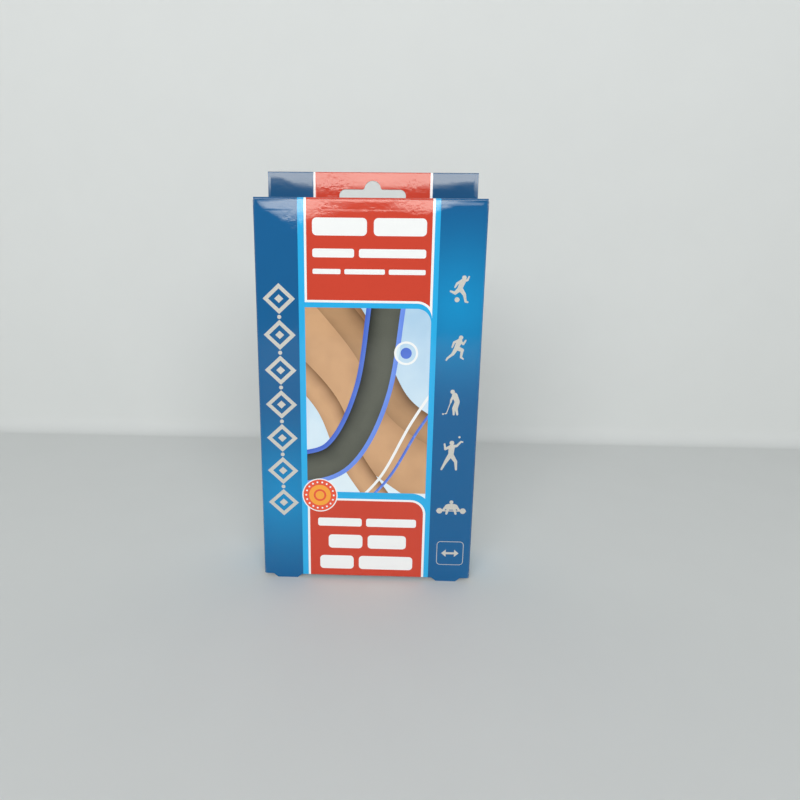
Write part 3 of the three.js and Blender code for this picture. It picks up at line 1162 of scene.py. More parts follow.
def pictogram(figure):
    dx, dy = figure["place"]
    shapes = [("silver_ink", [(x + dx, y + dy) for x, y in stroke(*limb)]) for limb in figure["strokes"]]
    for x, y, radius in [figure["head"], *figure["balls"]]:
        shapes.append(("silver_ink", disc((x + dx, y + dy), radius, 18)))
    return shapes


print("shapes of each pictogram:", [len(pictogram(figure)) for figure in PICTOGRAMS])

# %% [markdown]
# At the foot of the right column stands a rounded square that marks the size. A plain double arrow stands
# in it, whose second half is the first one turned round.

# %% Size mark
SIZE_SQUARE = (100.3, 115.7, 10.5, 25.3)
SIZE_CORNER = 2.2
SIZE_LINE = 0.32
HALF_ARROW = [(-5.0, 0.0), (-2.4, 2.3), (-2.4, 0.65), (2.4, 0.65), (2.4, 2.3)]


def size_mark():
    """A rounded square with a plain double arrow."""
    left, right, bottom, top = SIZE_SQUARE
    middle, level = (left + right) / 2, (bottom + top) / 2
    whole_arrow = HALF_ARROW + [(-x, -y) for x, y in HALF_ARROW]
    line = SIZE_LINE
    return [
        ("silver_ink", rounded(left, right, bottom, top, SIZE_CORNER)),
        ("blue_ink", rounded(left + line, right - line, bottom + line, top - line, SIZE_CORNER - line)),
        ("silver_ink", [(middle + x, level + y) for x, y in whole_arrow]),
    ]


print("corners of the arrow:", len(size_mark()[2][1]))

# %% [markdown]
# Down the left column runs a plain silver ornament: open lozenges linked by small studs.

# %% Ornament
LOZENGE_SHARE = 0.42
CORE_SHARE = 0.28
STUD = 1.1


def lozenge(centre, half_width, half_height):
    x, y = centre
    return [(x - half_width, y), (x, y - half_height), (x + half_width, y), (x, y + half_height)]


def ornament(middle, bottom, top, count, half_width, band):
    """Open lozenges on a line, with a stud between two of them."""
    pitch = (top - bottom) / count
    half_height = pitch * LOZENGE_SHARE
    inset = band * math.hypot(half_width, half_height)
    hollow = (half_width - inset / half_height, half_height - inset / half_width)
    shapes = []
    for index in range(count):
        centre = (middle, bottom + (index + 0.5) * pitch)
        shapes.append(("silver_ink", lozenge(centre, half_width, half_height)))
        shapes.append(("blue_ink", lozenge(centre, *hollow)))
        shapes.append(("silver_ink", lozenge(centre, half_width * CORE_SHARE, half_height * CORE_SHARE)))
        if index:
            shapes.append(("silver_ink", disc((middle, bottom + index * pitch), STUD, 16)))
    return shapes


FRONT_ORNAMENT = ornament(middle=12.5, bottom=37.5, top=171.5, count=7, half_width=8.6, band=2.0)
print("shapes in the front's ornament:", len(FRONT_ORNAMENT))

# %% [markdown]
# All of the front's print comes together, from the ground colour up. Broad ribbons are laid in several
# layers, and narrow ones in a single one.

# %% All of the front's print
BROAD = 5.0


def front_print():
    shapes = [
        ("cyan_ink", rectangle(LEFT_BLUE, RIGHT_BLUE, BELOW_FOLD, ABOVE_FOLD)),
        ("white_print", head_panel(0, LEFT_CYAN, RIGHT_CYAN)),
        ("red_ink", head_panel(LINE, LEFT_WHITE, RIGHT_WHITE)),
        ("white_print", foot_panel(0, LEFT_CYAN, RIGHT_CYAN)),
        ("red_ink", foot_panel(LINE, LEFT_WHITE, RIGHT_WHITE)),
        ("pale_blue_ink", picture_panel(), picture_sky),
    ]
    for ink_name, points, width in PICTURE_RIBBONS:
        tone = across_ribbon(points, width)
        for layer in RIBBON_LAYERS if width > BROAD else (1.0,):
            shapes.append((ink_name, inside_picture(ribbon(points, width * layer)), tone))
    shapes += [(ink_name, disc(centre, radius)) for ink_name, centre, radius in PICTURE_DISCS]
    shapes += badge()
    shapes += [("white_print", bar) for bar in bar_rows(HEAD_ROWS) + bar_rows(FOOT_ROWS)]
    for figure in PICTOGRAMS:
        shapes += pictogram(figure)
    return shapes + size_mark() + FRONT_ORNAMENT


print("shapes on the front:", len(front_print()))

# %% [markdown]
# The sleeve is one strip that runs round the carton: left panel, front, right panel, back, and the glue
# flap that disappears inside the left panel. The back panel carries on upwards, folds over itself and
# comes down again inside, which makes the hang tab two boards thick and printed on both faces.

# %% The folds of the sleeve
SEAM_STEP = 0.35
SEAM_PLAY = 0.05
FOLD_STEPS = 6
FLAP_FOLD = 1.1
OVER_FOLD = BOARD + 0.02
GAP = 0.06
FRONT_TOP = lid_low[2] - GAP
SIDE_TOP = flap_low[2] - GAP
SIDE_BOTTOM = box_mm("bottom_dust_left")[1][2] + GAP
BACK_BOTTOM = FLOOR + CREASE + GAP
FOOT_INSET = 5.6
FOOT_LENGTH = 16.6
FOOT_SLOPE = 2.6
TAB_INSET = 0.3
LEG_DEPTH = 22.0
LEG_INSET = FOLD + 0.4
SEAM_WIDTH = 12.0
SEAM_ENDS = 4.0
SEAM_SLOPE = 3.0

left_run = DEPTH - FOLD - SEAM_STEP
front_run = WIDTH - 2 * FOLD
right_run = DEPTH - 2 * FOLD
back_run = WIDTH - FOLD - BOARD - SEAM_PLAY - FLAP_FOLD
girth = fold_path((-SIDE, BACK - SEAM_STEP), -QUARTER, [
    {"run": left_run},
    {"turn": QUARTER, "radius": FOLD},
    {"run": front_run},
    {"turn": QUARTER, "radius": FOLD},
    {"run": right_run},
    {"turn": QUARTER, "radius": FOLD},
    {"run": back_run},
    {"turn": QUARTER, "radius": FLAP_FOLD},
    {"run": SEAM_WIDTH - FLAP_FOLD},
])
fold_arc = QUARTER * FOLD
FRONT_LEFT = left_run + fold_arc - FOLD
RIGHT_LEFT = left_run + fold_arc + front_run + fold_arc - FOLD
BACK_LEFT = RIGHT_LEFT + FOLD + right_run + fold_arc - FOLD
BACK_END = BACK_LEFT + FOLD + back_run
print(f"blank {girth['length']:.1f} mm long")
print(f"panels start at {FRONT_LEFT:.1f}, {RIGHT_LEFT:.1f} and {BACK_LEFT:.1f} mm")

# %% [markdown]
# Up the blank, the back panel ends in the tab's fold: half a turn of a very small radius, and then the
# leg that comes down again in front of it.

# %% The fold of the tab
OVER_START = TAB_TOP - OVER_FOLD
OVER_ARC = math.pi * OVER_FOLD
BLANK_TOP = OVER_START + OVER_ARC + (OVER_START - (LID_TOP - LEG_DEPTH))


def over_level(z):
    """The distance up the blank of a level on the folded-over leg."""
    return OVER_START + OVER_ARC + (OVER_START - z)


print(f"blank {BLANK_TOP:.1f} mm high, the leg starts at {over_level(LID_TOP):.1f} mm")

# %% [markdown]
# A packed carton is never quite flat. Its panels swell like pillows, and handling leaves a few shallow
# swellings and hollows in its front. None of it is a millimetre deep, and yet the film shows it at once.

# %% Swellings of the panels
BULGE = {"front": 0.35, "back": 0.3, "side": 0.25}
SWELL_ACROSS = 1.5
SWELL_UPWARD = 0.6
FRONT_WARPS = [
    {"x": 22.0, "z": 178.0, "reach_x": 26.0, "reach_z": 24.0, "height": 0.1},
    {"x": 30.0, "z": 60.0, "reach_x": 30.0, "reach_z": 34.0, "height": 0.12},
    {"x": -30.0, "z": 96.0, "reach_x": 24.0, "reach_z": 30.0, "height": -0.1},
]
WARP_FADE = {"side": 3.0, "top": 6.0, "foot": 10.0}


def swell(share_x, share_z, amount):
    """A pillow shape: nothing at the folds and edges, most in the middle."""
    x = np.clip(4 * share_x * (1 - share_x), 0, 1)
    z = np.clip(4 * share_z * (1 - share_z), 0, 1)
    return amount * x**SWELL_ACROSS * z**SWELL_UPWARD


def front_warp(x, z):
    """Gentle swellings and hollows left by packing and handling, which fade out at the folds."""
    total = np.zeros(len(x))
    for warp in FRONT_WARPS:
        distance = ((x - warp["x"]) / warp["reach_x"]) ** 2 + ((z - warp["z"]) / warp["reach_z"]) ** 2
        total += warp["height"] * np.exp(-distance)
    fade_x = 1 - np.exp(-np.clip(SIDE - FOLD - np.abs(x), 0, None) / WARP_FADE["side"])
    fade_top = np.clip((FRONT_TOP - z) / WARP_FADE["top"], 0, 1)
    fade_foot = np.clip((z - FLOOR) / WARP_FADE["foot"], 0, 1)
    return total * fade_x * (fade_top * fade_foot)


print("middle of the front stands out by", swell(0.5, 0.5, BULGE["front"]), "mm")

# %% [markdown]
# Below the lid the front bows forward, and there it mirrors the window as a bright wedge. Tables say how
# far down the bow goes on and how steep it is along the edge, the slopes in thousandths. The tab's leg
# bows in the same way below its fold.

# %% Bows of the front and the tab
LEAN_PLACES = [-60, -55, -50, -45, -40, -34, -30, -24, -15, -6, 5, 12, 20, 29, 35, 41, 50, 60]
LEAN_DEPTHS = [1, 4, 7.5, 10.5, 13, 13, 10, 8, 6, 5, 5, 5, 6, 6.5, 5, 3, 2.2, 1.8]
LEAN_SLOPES = [45, 58, 62, 63, 63, 62, 60, 52, 26, 4, 2, 24, 46, 53, 50, 45, 45, 45]
LEAN_FADE = 70.0
TAB_LEAN_PLACES = [-53, -45, -28, -20, 20, 34, 42, 53]
TAB_LEAN_DEPTHS = [3, 6.5, 9.4, 8.8, 8.8, 7.5, 6.5, 5]
TAB_LEAN_SLOPE = 0.037
KINK = 14
TAB_FLAT_START = 1.0
TAB_FLAT_LENGTH = 4.0


def soft_minimum(first, second):
    """The smaller of two lengths, with a rounded change from one to the other."""
    return first * second / (first**KINK + second**KINK) ** (1 / KINK)


def front_lean(x, z):
    """How far the front stands out below the lid. It grows down to a depth that changes along the edge."""
    below = np.clip(FRONT_TOP - z, 0, None)
    depth = np.interp(x, LEAN_PLACES, LEAN_DEPTHS)
    slope = np.interp(x, LEAN_PLACES, LEAN_SLOPES) / 1000
    fade_x = 1 - np.exp(-np.clip(SIDE - FOLD - np.abs(x), 0, None))
    return slope * soft_minimum(below, depth) * np.exp(-(below / LEAN_FADE) ** 2) * fade_x


def tab_lean(x, z):
    """The tab's front leg bows forward a little below its top fold, and lies flat again at the lid."""
    depth = np.interp(x, TAB_LEAN_PLACES, TAB_LEAN_DEPTHS)
    flat_again = np.clip((z - LID_TOP - TAB_FLAT_START) / TAB_FLAT_LENGTH, 0, 1)
    return TAB_LEAN_SLOPE * soft_minimum(np.clip(TAB_TOP - z, 0, None), depth) * flat_again


bow = front_lean(np.array([-40.0]), np.array([FRONT_TOP - 30.0]))[0]
print(f"front stands out by {bow:.2f} mm near its upper left corner")

# %% [markdown]
# This is the way from the blank to the sleeve. The distance along the blank becomes a place on the girth,
# and the distance up it becomes a level, which turns back at the tab. Above the corners the tab lies
# flat, so the round folds fade out there.

# %% From the blank to the sleeve
RELAX_HEIGHT = 1.4


def on_girth(u, v):
    """Places seen from above. Above the corners, the back's round folds give way to a flat tab."""
    relaxed = np.clip((v - FRONT_TOP) / RELAX_HEIGHT, 0, 1)
    on_tab = (u > BACK_LEFT - FOLD) & (v > FRONT_TOP)
    relaxed = np.where(on_tab, relaxed * relaxed * (3 - 2 * relaxed), 0)[:, None]
    straight = np.stack([SIDE - (u - BACK_LEFT), np.full(len(u), BACK)], axis=1)
    return along(girth, u) * (1 - relaxed) + straight * relaxed


def fold_sleeve(flat):
    """Takes points of the flat blank to the folded sleeve."""
    u, v = flat[:, 0], flat[:, 1]
    plan = on_girth(u, v)
    over = np.clip(v - OVER_START, 0, OVER_ARC) / OVER_FOLD
    beyond = np.clip(v - OVER_START - OVER_ARC, 0, None)
    level = np.minimum(v, OVER_START) + OVER_FOLD * np.sin(over) - beyond
    inward = OVER_FOLD * (1 - np.cos(over))

    height = (v - FLOOR) / (FRONT_TOP - FLOOR)
    on_front = (u > FRONT_LEFT) & (u < RIGHT_LEFT)
    front_x = u - FRONT_LEFT - SIDE
    plan[:, 1] -= swell((u - FRONT_LEFT) / WIDTH, height, BULGE["front"]) * on_front
    plan[:, 1] -= (front_warp(front_x, v) + front_lean(front_x, v)) * on_front
    plan[:, 0] += swell((u - RIGHT_LEFT) / DEPTH, height, BULGE["side"]) * (u < BACK_LEFT)
    plan[:, 0] -= swell(u / DEPTH, height, BULGE["side"]) * (u < left_run)
    plan[:, 1] += swell((u - BACK_LEFT) / WIDTH, height, BULGE["back"]) * (u < BACK_END)
    plan[:, 1] -= inward + tab_lean(plan[:, 0], level) * (v > OVER_START + OVER_ARC / 2)
    return np.column_stack([plan, level])


tab_edge = fold_sleeve(np.array([[BACK_LEFT + SIDE, OVER_START + OVER_ARC / 2]]))[0]
print(f"the fold over the tab peaks at {tab_edge[2]:.1f} mm")

# %% [markdown]
# The outline of the blank runs along the lower edge with its feet, then back along the upper edge with
# the tab. The euro slot is cut twice, mirrored about the fold at the tab's top, so that both layers of
# the tab line up.

# %% Outline of the sleeve's blank
SLOT_WIDTH = 38.0
SLOT_HEIGHT = 7.0
SLOT_RISE = 2.5
HUMP = 4.7
HUMP_FILLET = 1.2
SHOULDER_STEP = 0.3
SHOULDER_RISE = 0.7


def feet(left):
    """Lower edge of a panel with its two feet, from left to right."""
    points = []
    for start in (FOOT_INSET, WIDTH - FOOT_INSET - FOOT_LENGTH):
        end = start + FOOT_LENGTH
        points += [(left + start, FLOOR), (left + start + FOOT_SLOPE, 0.0)]
        points += [(left + end - FOOT_SLOPE, 0.0), (left + end, FLOOR)]
    return points


def back_feet(left):
    points = []
    for a, b, c, d in (feet(left)[:4], feet(left)[4:]):
        points += [(a[0], BACK_BOTTOM), a, b, c, d, (d[0], BACK_BOTTOM)]
    return points


def crease_lines(path, axis=1):
    """Where a fold is cut into narrow strips, so that it comes out round."""
    lines = []
    starts = [stretch[1] for stretch in path["stretches"]]
    for (kind, start, *_), end in zip(path["stretches"], starts[1:]):
        if kind == "fold":
            lines += [(axis, start + (end - start) * step / FOLD_STEPS) for step in range(FOLD_STEPS + 1)]
    return lines


def euro_slot(middle, level):
    """The slot's outline: level turns a height above the lid into a place on the blank."""
    reach = (SLOT_WIDTH - SLOT_HEIGHT) / 2
    centre = SLOT_RISE + SLOT_HEIGHT / 2
    top = SLOT_RISE + SLOT_HEIGHT
    side = math.sqrt((HUMP + HUMP_FILLET) ** 2 - HUMP_FILLET**2)
    touch = math.degrees(math.atan2(HUMP_FILLET, side))
    points = [
        *arc((reach, centre), SLOT_HEIGHT / 2, -90, 90),
        *arc((side, top + HUMP_FILLET), HUMP_FILLET, -90, touch - 180, 5),
        *arc((0, top), HUMP, touch, 180 - touch, 16),
        *arc((-side, top + HUMP_FILLET), HUMP_FILLET, -touch, -90, 5),
        *arc((-reach, centre), SLOT_HEIGHT / 2, 90, 270),
    ]
    return [(middle + x, level(LID_TOP + z)) for x, z in points]


slot_size = np.ptp(euro_slot(0.0, lambda z: z), axis=0)
print(f"euro slot {slot_size[0]:.0f} mm wide and {slot_size[1]:.1f} mm high with its hump")

# %% [markdown]
# With the feet, the tab and the slot at hand, the whole outline is one list. It starts at the left
# panel's lower corner and goes round against the clock.

# %% The whole outline and its fold lines
WEAR_END = 5.0
blank_end = girth["length"]
front_right = FRONT_LEFT + WIDTH
tab_left, tab_right = BACK_LEFT + TAB_INSET, BACK_LEFT + WIDTH - TAB_INSET
leg_left, leg_right = BACK_LEFT + LEG_INSET, BACK_LEFT + WIDTH - LEG_INSET
sleeve_outline = [
    (0.0, SIDE_BOTTOM),
    (left_run, SIDE_BOTTOM),
    (left_run, FLOOR),
    *feet(FRONT_LEFT),
    (front_right - FOLD + fold_arc, FLOOR),
    (front_right - FOLD + fold_arc, SIDE_BOTTOM),
    (BACK_LEFT + FOLD - fold_arc, SIDE_BOTTOM),
    (BACK_LEFT + FOLD - fold_arc, BACK_BOTTOM),
    *back_feet(BACK_LEFT),
    (BACK_END, BACK_BOTTOM),
    (BACK_END, SIDE_BOTTOM + SEAM_ENDS),
    (blank_end, SIDE_BOTTOM + SEAM_ENDS + SEAM_SLOPE),
    (blank_end, SIDE_TOP - SEAM_ENDS - SEAM_SLOPE),
    (BACK_END + SHOULDER_STEP, SIDE_TOP - SEAM_ENDS),
    (BACK_END + SHOULDER_STEP, FRONT_TOP),
    (tab_right, FRONT_TOP + SHOULDER_RISE),
    (tab_right, over_level(LID_TOP)),
    (leg_right, over_level(LID_TOP)),
    (leg_right, BLANK_TOP),
    (leg_left, BLANK_TOP),
    (leg_left, over_level(LID_TOP)),
    (tab_left, over_level(LID_TOP)),
    (tab_left, FRONT_TOP + SHOULDER_RISE),
    (BACK_LEFT + FOLD - fold_arc, FRONT_TOP),
    (BACK_LEFT + FOLD - fold_arc, SIDE_TOP),
    (front_right - FOLD + fold_arc, SIDE_TOP),
    (front_right - FOLD + fold_arc, FRONT_TOP),
    (left_run, FRONT_TOP),
    (left_run, SIDE_TOP),
    (0.0, SIDE_TOP),
]
slot_middle = BACK_LEFT + WIDTH / 2
sleeve_holes = [euro_slot(slot_middle, lambda z: z), euro_slot(slot_middle, over_level)]
sleeve_folds = crease_lines(girth, axis=0)
sleeve_folds += [(1, OVER_START + OVER_ARC * step / FOLD_STEPS) for step in range(FOLD_STEPS + 1)]
sleeve_folds += [(1, FLOOR + WEAR_END), (1, FRONT_TOP - WEAR_END)]
print("outline points:", len(sleeve_outline), "fold lines:", len(sleeve_folds))

# %% [markdown]
# The sides carry a bare red label with a white border, an ornament and a cyan block at the foot.

# %% Print of the sides
SIDE_LABEL = (7.0, 29.0, 122.0, 176.0)
LABEL_CORNER = 1.6
BORDER_CORNER = 1.0
SIDE_BLOCK_TOP = 36.0
SIDE_LINE = 1.0
SIDE_BARS = (166.0, 158.0, 150.0, 142.0, 134.0)
SIDE_BAR_WIDE = 6.5
SIDE_BAR_HIGH = 1.0
SIDE_BAR_CORNER = 0.6
SIDE_ORNAMENT = {"bottom": 44.0, "top": 114.0, "count": 5, "half_width": 6.0, "band": 1.8}


def side_print():
    left, right, bottom, top = SIDE_LABEL
    shapes = [
        ("white_print", rounded(left, right, bottom, top, LABEL_CORNER)),
        ("red_ink", rounded(left + LINE, right - LINE, bottom + LINE, top - LINE, BORDER_CORNER)),
        ("cyan_ink", rectangle(FOLD, DEPTH - FOLD, FLOOR - 1, SIDE_BLOCK_TOP)),
        ("white_print", rectangle(FOLD, DEPTH - FOLD, SIDE_BLOCK_TOP, SIDE_BLOCK_TOP + SIDE_LINE)),
    ]
    middle = DEPTH / 2
    start, end = middle - SIDE_BAR_WIDE, middle + SIDE_BAR_WIDE
    for level in SIDE_BARS:
        bar = rounded(start, end, level - SIDE_BAR_HIGH, level + SIDE_BAR_HIGH, SIDE_BAR_CORNER, 3)
        shapes.append(("white_print", bar))
    return shapes + ornament(middle, **SIDE_ORNAMENT)


print("shapes on a side:", len(side_print()))

# %% [markdown]
# The back is free, because the photograph doesn't show it: a pale panel with a red head, rows of quiet
# bars, and a line of plain spots.

# %% Print of the back
BACK_PANELS = [
    ("cyan_ink", 9.0, 10.0, 202.0, 7.0),
    ("pale_blue_ink", 11.4, 12.4, 199.6, 5.4),
    ("red_ink", 16.0, 172.0, 194.0, 2.0),
]
BACK_ROWS = [
    {"level": 186.0, "height": 3.2, "bars": [(24.0, 62.0), (66.0, 96.0)]},
    {"level": 179.0, "height": 1.8, "bars": [(24.0, 50.0), (53.0, 84.0)]},
]
BACK_BLOCKS = (160.0, 122.0, 84.0)
BLOCK_LEFT = 18.0
BLOCK_ENDS = (92.0, 101.0, 84.0, 98.0, 72.0)
BLOCK_PITCH = 5.2
BLOCK_SHRINK = 4.0
BLOCK_BAR = 0.8
SPOTS = [(28.0, 42.0), (49.0, 42.0), (70.0, 42.0), (91.0, 42.0)]
SPOT_RINGS = [("blue_ink", 7.4), ("white_print", 6.6)]
SPOT_HEART = 4.0


def back_print():
    shapes = []
    for ink, inset, bottom, top, radius in BACK_PANELS:
        shapes.append((ink, rounded(inset, WIDTH - inset, bottom, top, radius)))
    shapes += [("white_print", bar) for bar in bar_rows(BACK_ROWS)]
    for block, level in enumerate(BACK_BLOCKS):
        for line, end in enumerate(BLOCK_ENDS):
            row, right = level - BLOCK_PITCH * line, end - BLOCK_SHRINK * block
            bar = rounded(BLOCK_LEFT, right, row - BLOCK_BAR, row + BLOCK_BAR, BLOCK_BAR / 2, 3)
            shapes.append(("slate_ink", bar))
    for centre in SPOTS:
        shapes += [(ink, disc(centre, radius)) for ink, radius in SPOT_RINGS]
        shapes.append(("cyan_ink", lozenge(centre, SPOT_HEART, SPOT_HEART)))
    return shapes


print("shapes on the back:", len(back_print()))

# %% [markdown]
# The columns of the front go on over the tab's leg. All prints are then moved to their panel's place
# along the blank. Both sides carry the same print.

# %% Print of the tab, and all prints on the blank
TAB_COLUMNS = [("white_print", 26.3, 94.0), ("red_ink", 27.4, 92.7)]
RUN_OUT = 5.0


def moved(shapes, left):
    """The same shapes further along the blank. A tone keeps reading its own panel's millimetres."""
    result = []
    for ink_name, shape, *tone in shapes:
        shifted = [lambda flat, tone=tone[0]: tone(flat - [left, 0])] if tone else []
        result.append((ink_name, [(x + left, y) for x, y in shape], *shifted))
    return result


def tab_print():
    """Columns of the tab's front. Its place on the blank runs the other way, because it is folded over."""
    low = over_level(LID_TOP - LEG_DEPTH) + RUN_OUT
    high = over_level(TAB_TOP) - OVER_ARC / 2
    return [(ink, rectangle(WIDTH - right, WIDTH - left, high, low)) for ink, left, right in TAB_COLUMNS]


sleeve_shapes = [
    *moved(front_print(), FRONT_LEFT),
    *moved(side_print(), RIGHT_LEFT),
    *moved(side_print(), left_run + FOLD - DEPTH),
    *moved(back_print(), BACK_LEFT),
    *moved(tab_print(), BACK_LEFT),
]
print("printed shapes on the sleeve:", len(sleeve_shapes))

# %% [markdown]
# Now the sleeve is made. Its upper edge and the tab's leg get closer points, because the bow there shows
# in the reflections. Its folds are worn a little all along, and more where they end.

# %% The sleeve
TOP_GRID = 1.5
TOP_BAND = 18.0
EDGE_MARGIN = 0.5
LEG_MARGIN = 0.8
GIRTH_WEAR = 0.16
END_WEAR = 4.0
OVER_WEAR = 0.2


def clamp_shapes(shapes, outline):
    """Keeps runs that leave the blank just outside it, so that the triangulation stays small."""
    low = np.min(outline, axis=0) - EDGE_MARGIN
    high = np.max(outline, axis=0) + EDGE_MARGIN
    clamped = []
    for ink_name, shape, *tone in shapes:
        clamped.append((ink_name, [tuple(np.clip(point, low, high)) for point in shape], *tone))
    return clamped


def grid_points(left, right, bottom, top):
    rows = np.arange(bottom, top, TOP_GRID)
    return [(u, v) for u in np.arange(left, right, TOP_GRID) for v in rows]


def sleeve_wear(flat):
    level = flat[:, 1]
    ends = np.clip(np.maximum(1 - (level - FLOOR) / WEAR_END, 1 - (FRONT_TOP - level) / WEAR_END), 0, 1)
    worn = fold_wear(girth, flat[:, 0], GIRTH_WEAR) * (1 + END_WEAR * ends) * (level < FRONT_TOP + 1)
    over = np.clip(1 - np.abs(level - OVER_START - OVER_ARC / 2) / (OVER_ARC / 2), 0, 1)
    return np.maximum(worn, OVER_WEAR * over)


top_points = grid_points(FRONT_LEFT, RIGHT_LEFT, FRONT_TOP - TOP_BAND, FRONT_TOP - EDGE_MARGIN)
top_points += grid_points(BACK_LEFT, BACK_END, OVER_START + OVER_ARC + LEG_MARGIN, over_level(LID_TOP))
board_piece(
    "sleeve_board", "carton_sleeve", "carton", sleeve_outline, fold_sleeve,
    clamp_shapes(sleeve_shapes, sleeve_outline), sleeve_holes, sleeve_folds,
    wear=sleeve_wear, close_points=top_points,
)

# %% [markdown]
# The lid hangs on the front crease, so its path starts there, bends back over the carton and runs to the
# tuck. The columns of the front simply carry on over the fold. Two short helpers, for the fold and for
# its wear, serve the tuck and the bottom lid as well.

# %% Top lid
LID_INSET = 0.5
LID_SAG = 0.25
CREASE_WEAR = 0.15
BLEED = 0.5
COLUMNS = [
    ("cyan_ink", LEFT_BLUE, RIGHT_BLUE),
    ("white_print", LEFT_CYAN, RIGHT_CYAN),
    ("red_ink", LEFT_WHITE, RIGHT_WHITE),
]

lid_run = lid_high[1] - FRONT - CREASE
lid_path = fold_path((FRONT, lid_low[2]), QUARTER, [
    {"turn": QUARTER, "radius": CREASE}, {"run": lid_run},
], side=-1)
lid_outline = rectangle(-SIDE + LID_INSET, SIDE - LID_INSET, 0.0, lid_path["length"])


def fold_along(path):
    """A fold for pieces that bend in one direction only: x stays, the rest follows the path."""
    return lambda flat: np.column_stack([flat[:, 0], along(path, flat[:, 1])])


def wear_along(path):
    return lambda flat: fold_wear(path, flat[:, 1], CREASE_WEAR)


def fold_lid(flat):
    folded = fold_along(lid_path)(flat)
    share = np.clip((flat[:, 1] - CREASE) / lid_run, 0, 1)
    folded[:, 2] -= swell((flat[:, 0] + SIDE) / WIDTH, share, LID_SAG)
    return folded


def column_shapes(bottom, top):
    return [(ink, rectangle(left - SIDE, right - SIDE, bottom, top)) for ink, left, right in COLUMNS]


board_piece(
    "lid_board", "top_lid", "lid", lid_outline, fold_lid,
    column_shapes(-BLEED, lid_path["length"] + BLEED), (), crease_lines(lid_path),
    wear=wear_along(lid_path),
)

# %% [markdown]
# The tuck folds down from the lid's back edge and leans a little inwards, as a tuck does that has been
# pushed in. Its lower corners are round so that it slides in easily. Print stops soon after the fold.

# %% Tuck of the top lid
FOLLOW_SHARE = 0.25
TUCK_LENGTH = 12.5
TUCK_INSET = 2.0
TUCK_CORNER = 8.0
TUCK_START = -0.25
TUCK_GAP = 0.3
LEAN_SPARE = 1.05
PRINT_BLEED = 4.0
tuck_lean = LEAN_SPARE * TUCK_LENGTH * (1 + FOLLOW_SHARE) ** 2 / (2 * (lid_high[1] - FRONT))
tuck_hinge = lid_high[1] + TUCK_GAP
tuck_path = fold_path((tuck_hinge, LID_TOP), 0.0, [
    {"turn": QUARTER + tuck_lean, "radius": CREASE}, {"run": TUCK_LENGTH},
], side=-1)


def tuck_outline(start, end):
    half = SIDE - TUCK_INSET
    return [
        (-half, start),
        (half, start),
        *arc((half - TUCK_CORNER, end - TUCK_CORNER), TUCK_CORNER, 0, 90),
        *arc((-half + TUCK_CORNER, end - TUCK_CORNER), TUCK_CORNER, 90, 180),
    ]


tuck_print = [("blue_ink", rectangle(-SIDE, SIDE, -1.0, PRINT_BLEED)), *column_shapes(-1.0, PRINT_BLEED)]
board_piece(
    "tuck_board", "top_tuck", "tuck", tuck_outline(TUCK_START, tuck_path["length"]),
    fold_along(tuck_path), tuck_print, (), crease_lines(tuck_path),
    base="bare_white", wear=wear_along(tuck_path),
)

# %% [markdown]
# The four dust flaps share one outline. A flap narrows towards its tip so that the lid and the tuck
# clear it as they open.

# %% Outline of a dust flap
DUST_LENGTH = flap_high[0] - flap_low[0]
DUST_START = flap_low[1] - FRONT
DUST_END = flap_high[1] - FRONT
FRONT_TAPER = 1.25 * FOLLOW_SHARE
BACK_TAPER = 0.4 * FOLLOW_SHARE
DUST_CORNER = 4.0
DUST_STEP = 0.1
flap_path = fold_path((0.0, 0.0), QUARTER, [
    {"turn": QUARTER, "radius": CREASE}, {"run": DUST_LENGTH - CREASE},
], side=-1)
flap_length = flap_path["length"]


def flap_outline():
    front = DUST_START + FRONT_TAPER * DUST_LENGTH
    back = DUST_END - BACK_TAPER * DUST_LENGTH
    return [
        (0.0, DUST_START + DUST_STEP),
        (flap_length - DUST_CORNER, front - FRONT_TAPER * DUST_CORNER),
        *arc((flap_length - DUST_CORNER, front + DUST_CORNER), DUST_CORNER, -72, 0, 6),
        *arc((flap_length - DUST_CORNER, back - DUST_CORNER), DUST_CORNER, 0, 84, 6),
        (flap_length - DUST_CORNER, back + BACK_TAPER * DUST_CORNER),
        (0.0, DUST_END),
    ]


print(f"flap blank {flap_length:.1f} mm long, from {DUST_START:.1f} to {DUST_END:.1f} mm behind the front")

# %% [markdown]
# Each flap's own place and direction are all that differs. The flaps on the right are the left ones
# turned over, so their blank is mirrored.

# %% The four dust flaps
FLAPS = [
    {"name": "top_left_flap", "node": "top_dust_left", "body": "dust_left", "side": -1, "up": 1},
    {"name": "top_right_flap", "node": "top_dust_right", "body": "dust_right", "side": 1, "up": 1},
    {"name": "lower_left_flap", "node": "bottom_dust_left", "body": "carton", "side": -1, "up": -1},
    {"name": "lower_right_flap", "node": "bottom_dust_right", "body": "carton", "side": 1, "up": -1},
]


def make_flap(flap):
    low, high = box_mm(flap["node"])
    hinge_level = low[2] if flap["up"] > 0 else high[2]

    def fold_flap(flat):
        section = along(flap_path, flat[:, 0])
        x = flap["side"] * (SIDE - section[:, 0])
        y = flap["up"] * (FRONT + flat[:, 1])
        z = hinge_level + flap["up"] * section[:, 1]
        return np.column_stack([x, y, z])

    outline = flap_outline()
    folded = fold_flap
    if flap["side"] > 0:
        outline = [(x, -y) for x, y in outline][::-1]
        folded = lambda flat: fold_flap(flat * [1, -1])
    bleed = rectangle(-1.0, PRINT_BLEED, -SIDE, SIDE)
    board_piece(
        flap["name"], flap["node"], flap["body"], outline, folded,
        [("blue_ink", bleed)], (), crease_lines(flap_path, axis=0), base="bare_white",
    )


for flap in FLAPS:
    make_flap(flap)

# %% [markdown]
# The bottom lid is hinged on the back panel and tucked in behind the front. Where the back feet stand,
# the board of the feet was cut out of this lid, so it has two notches along its crease.

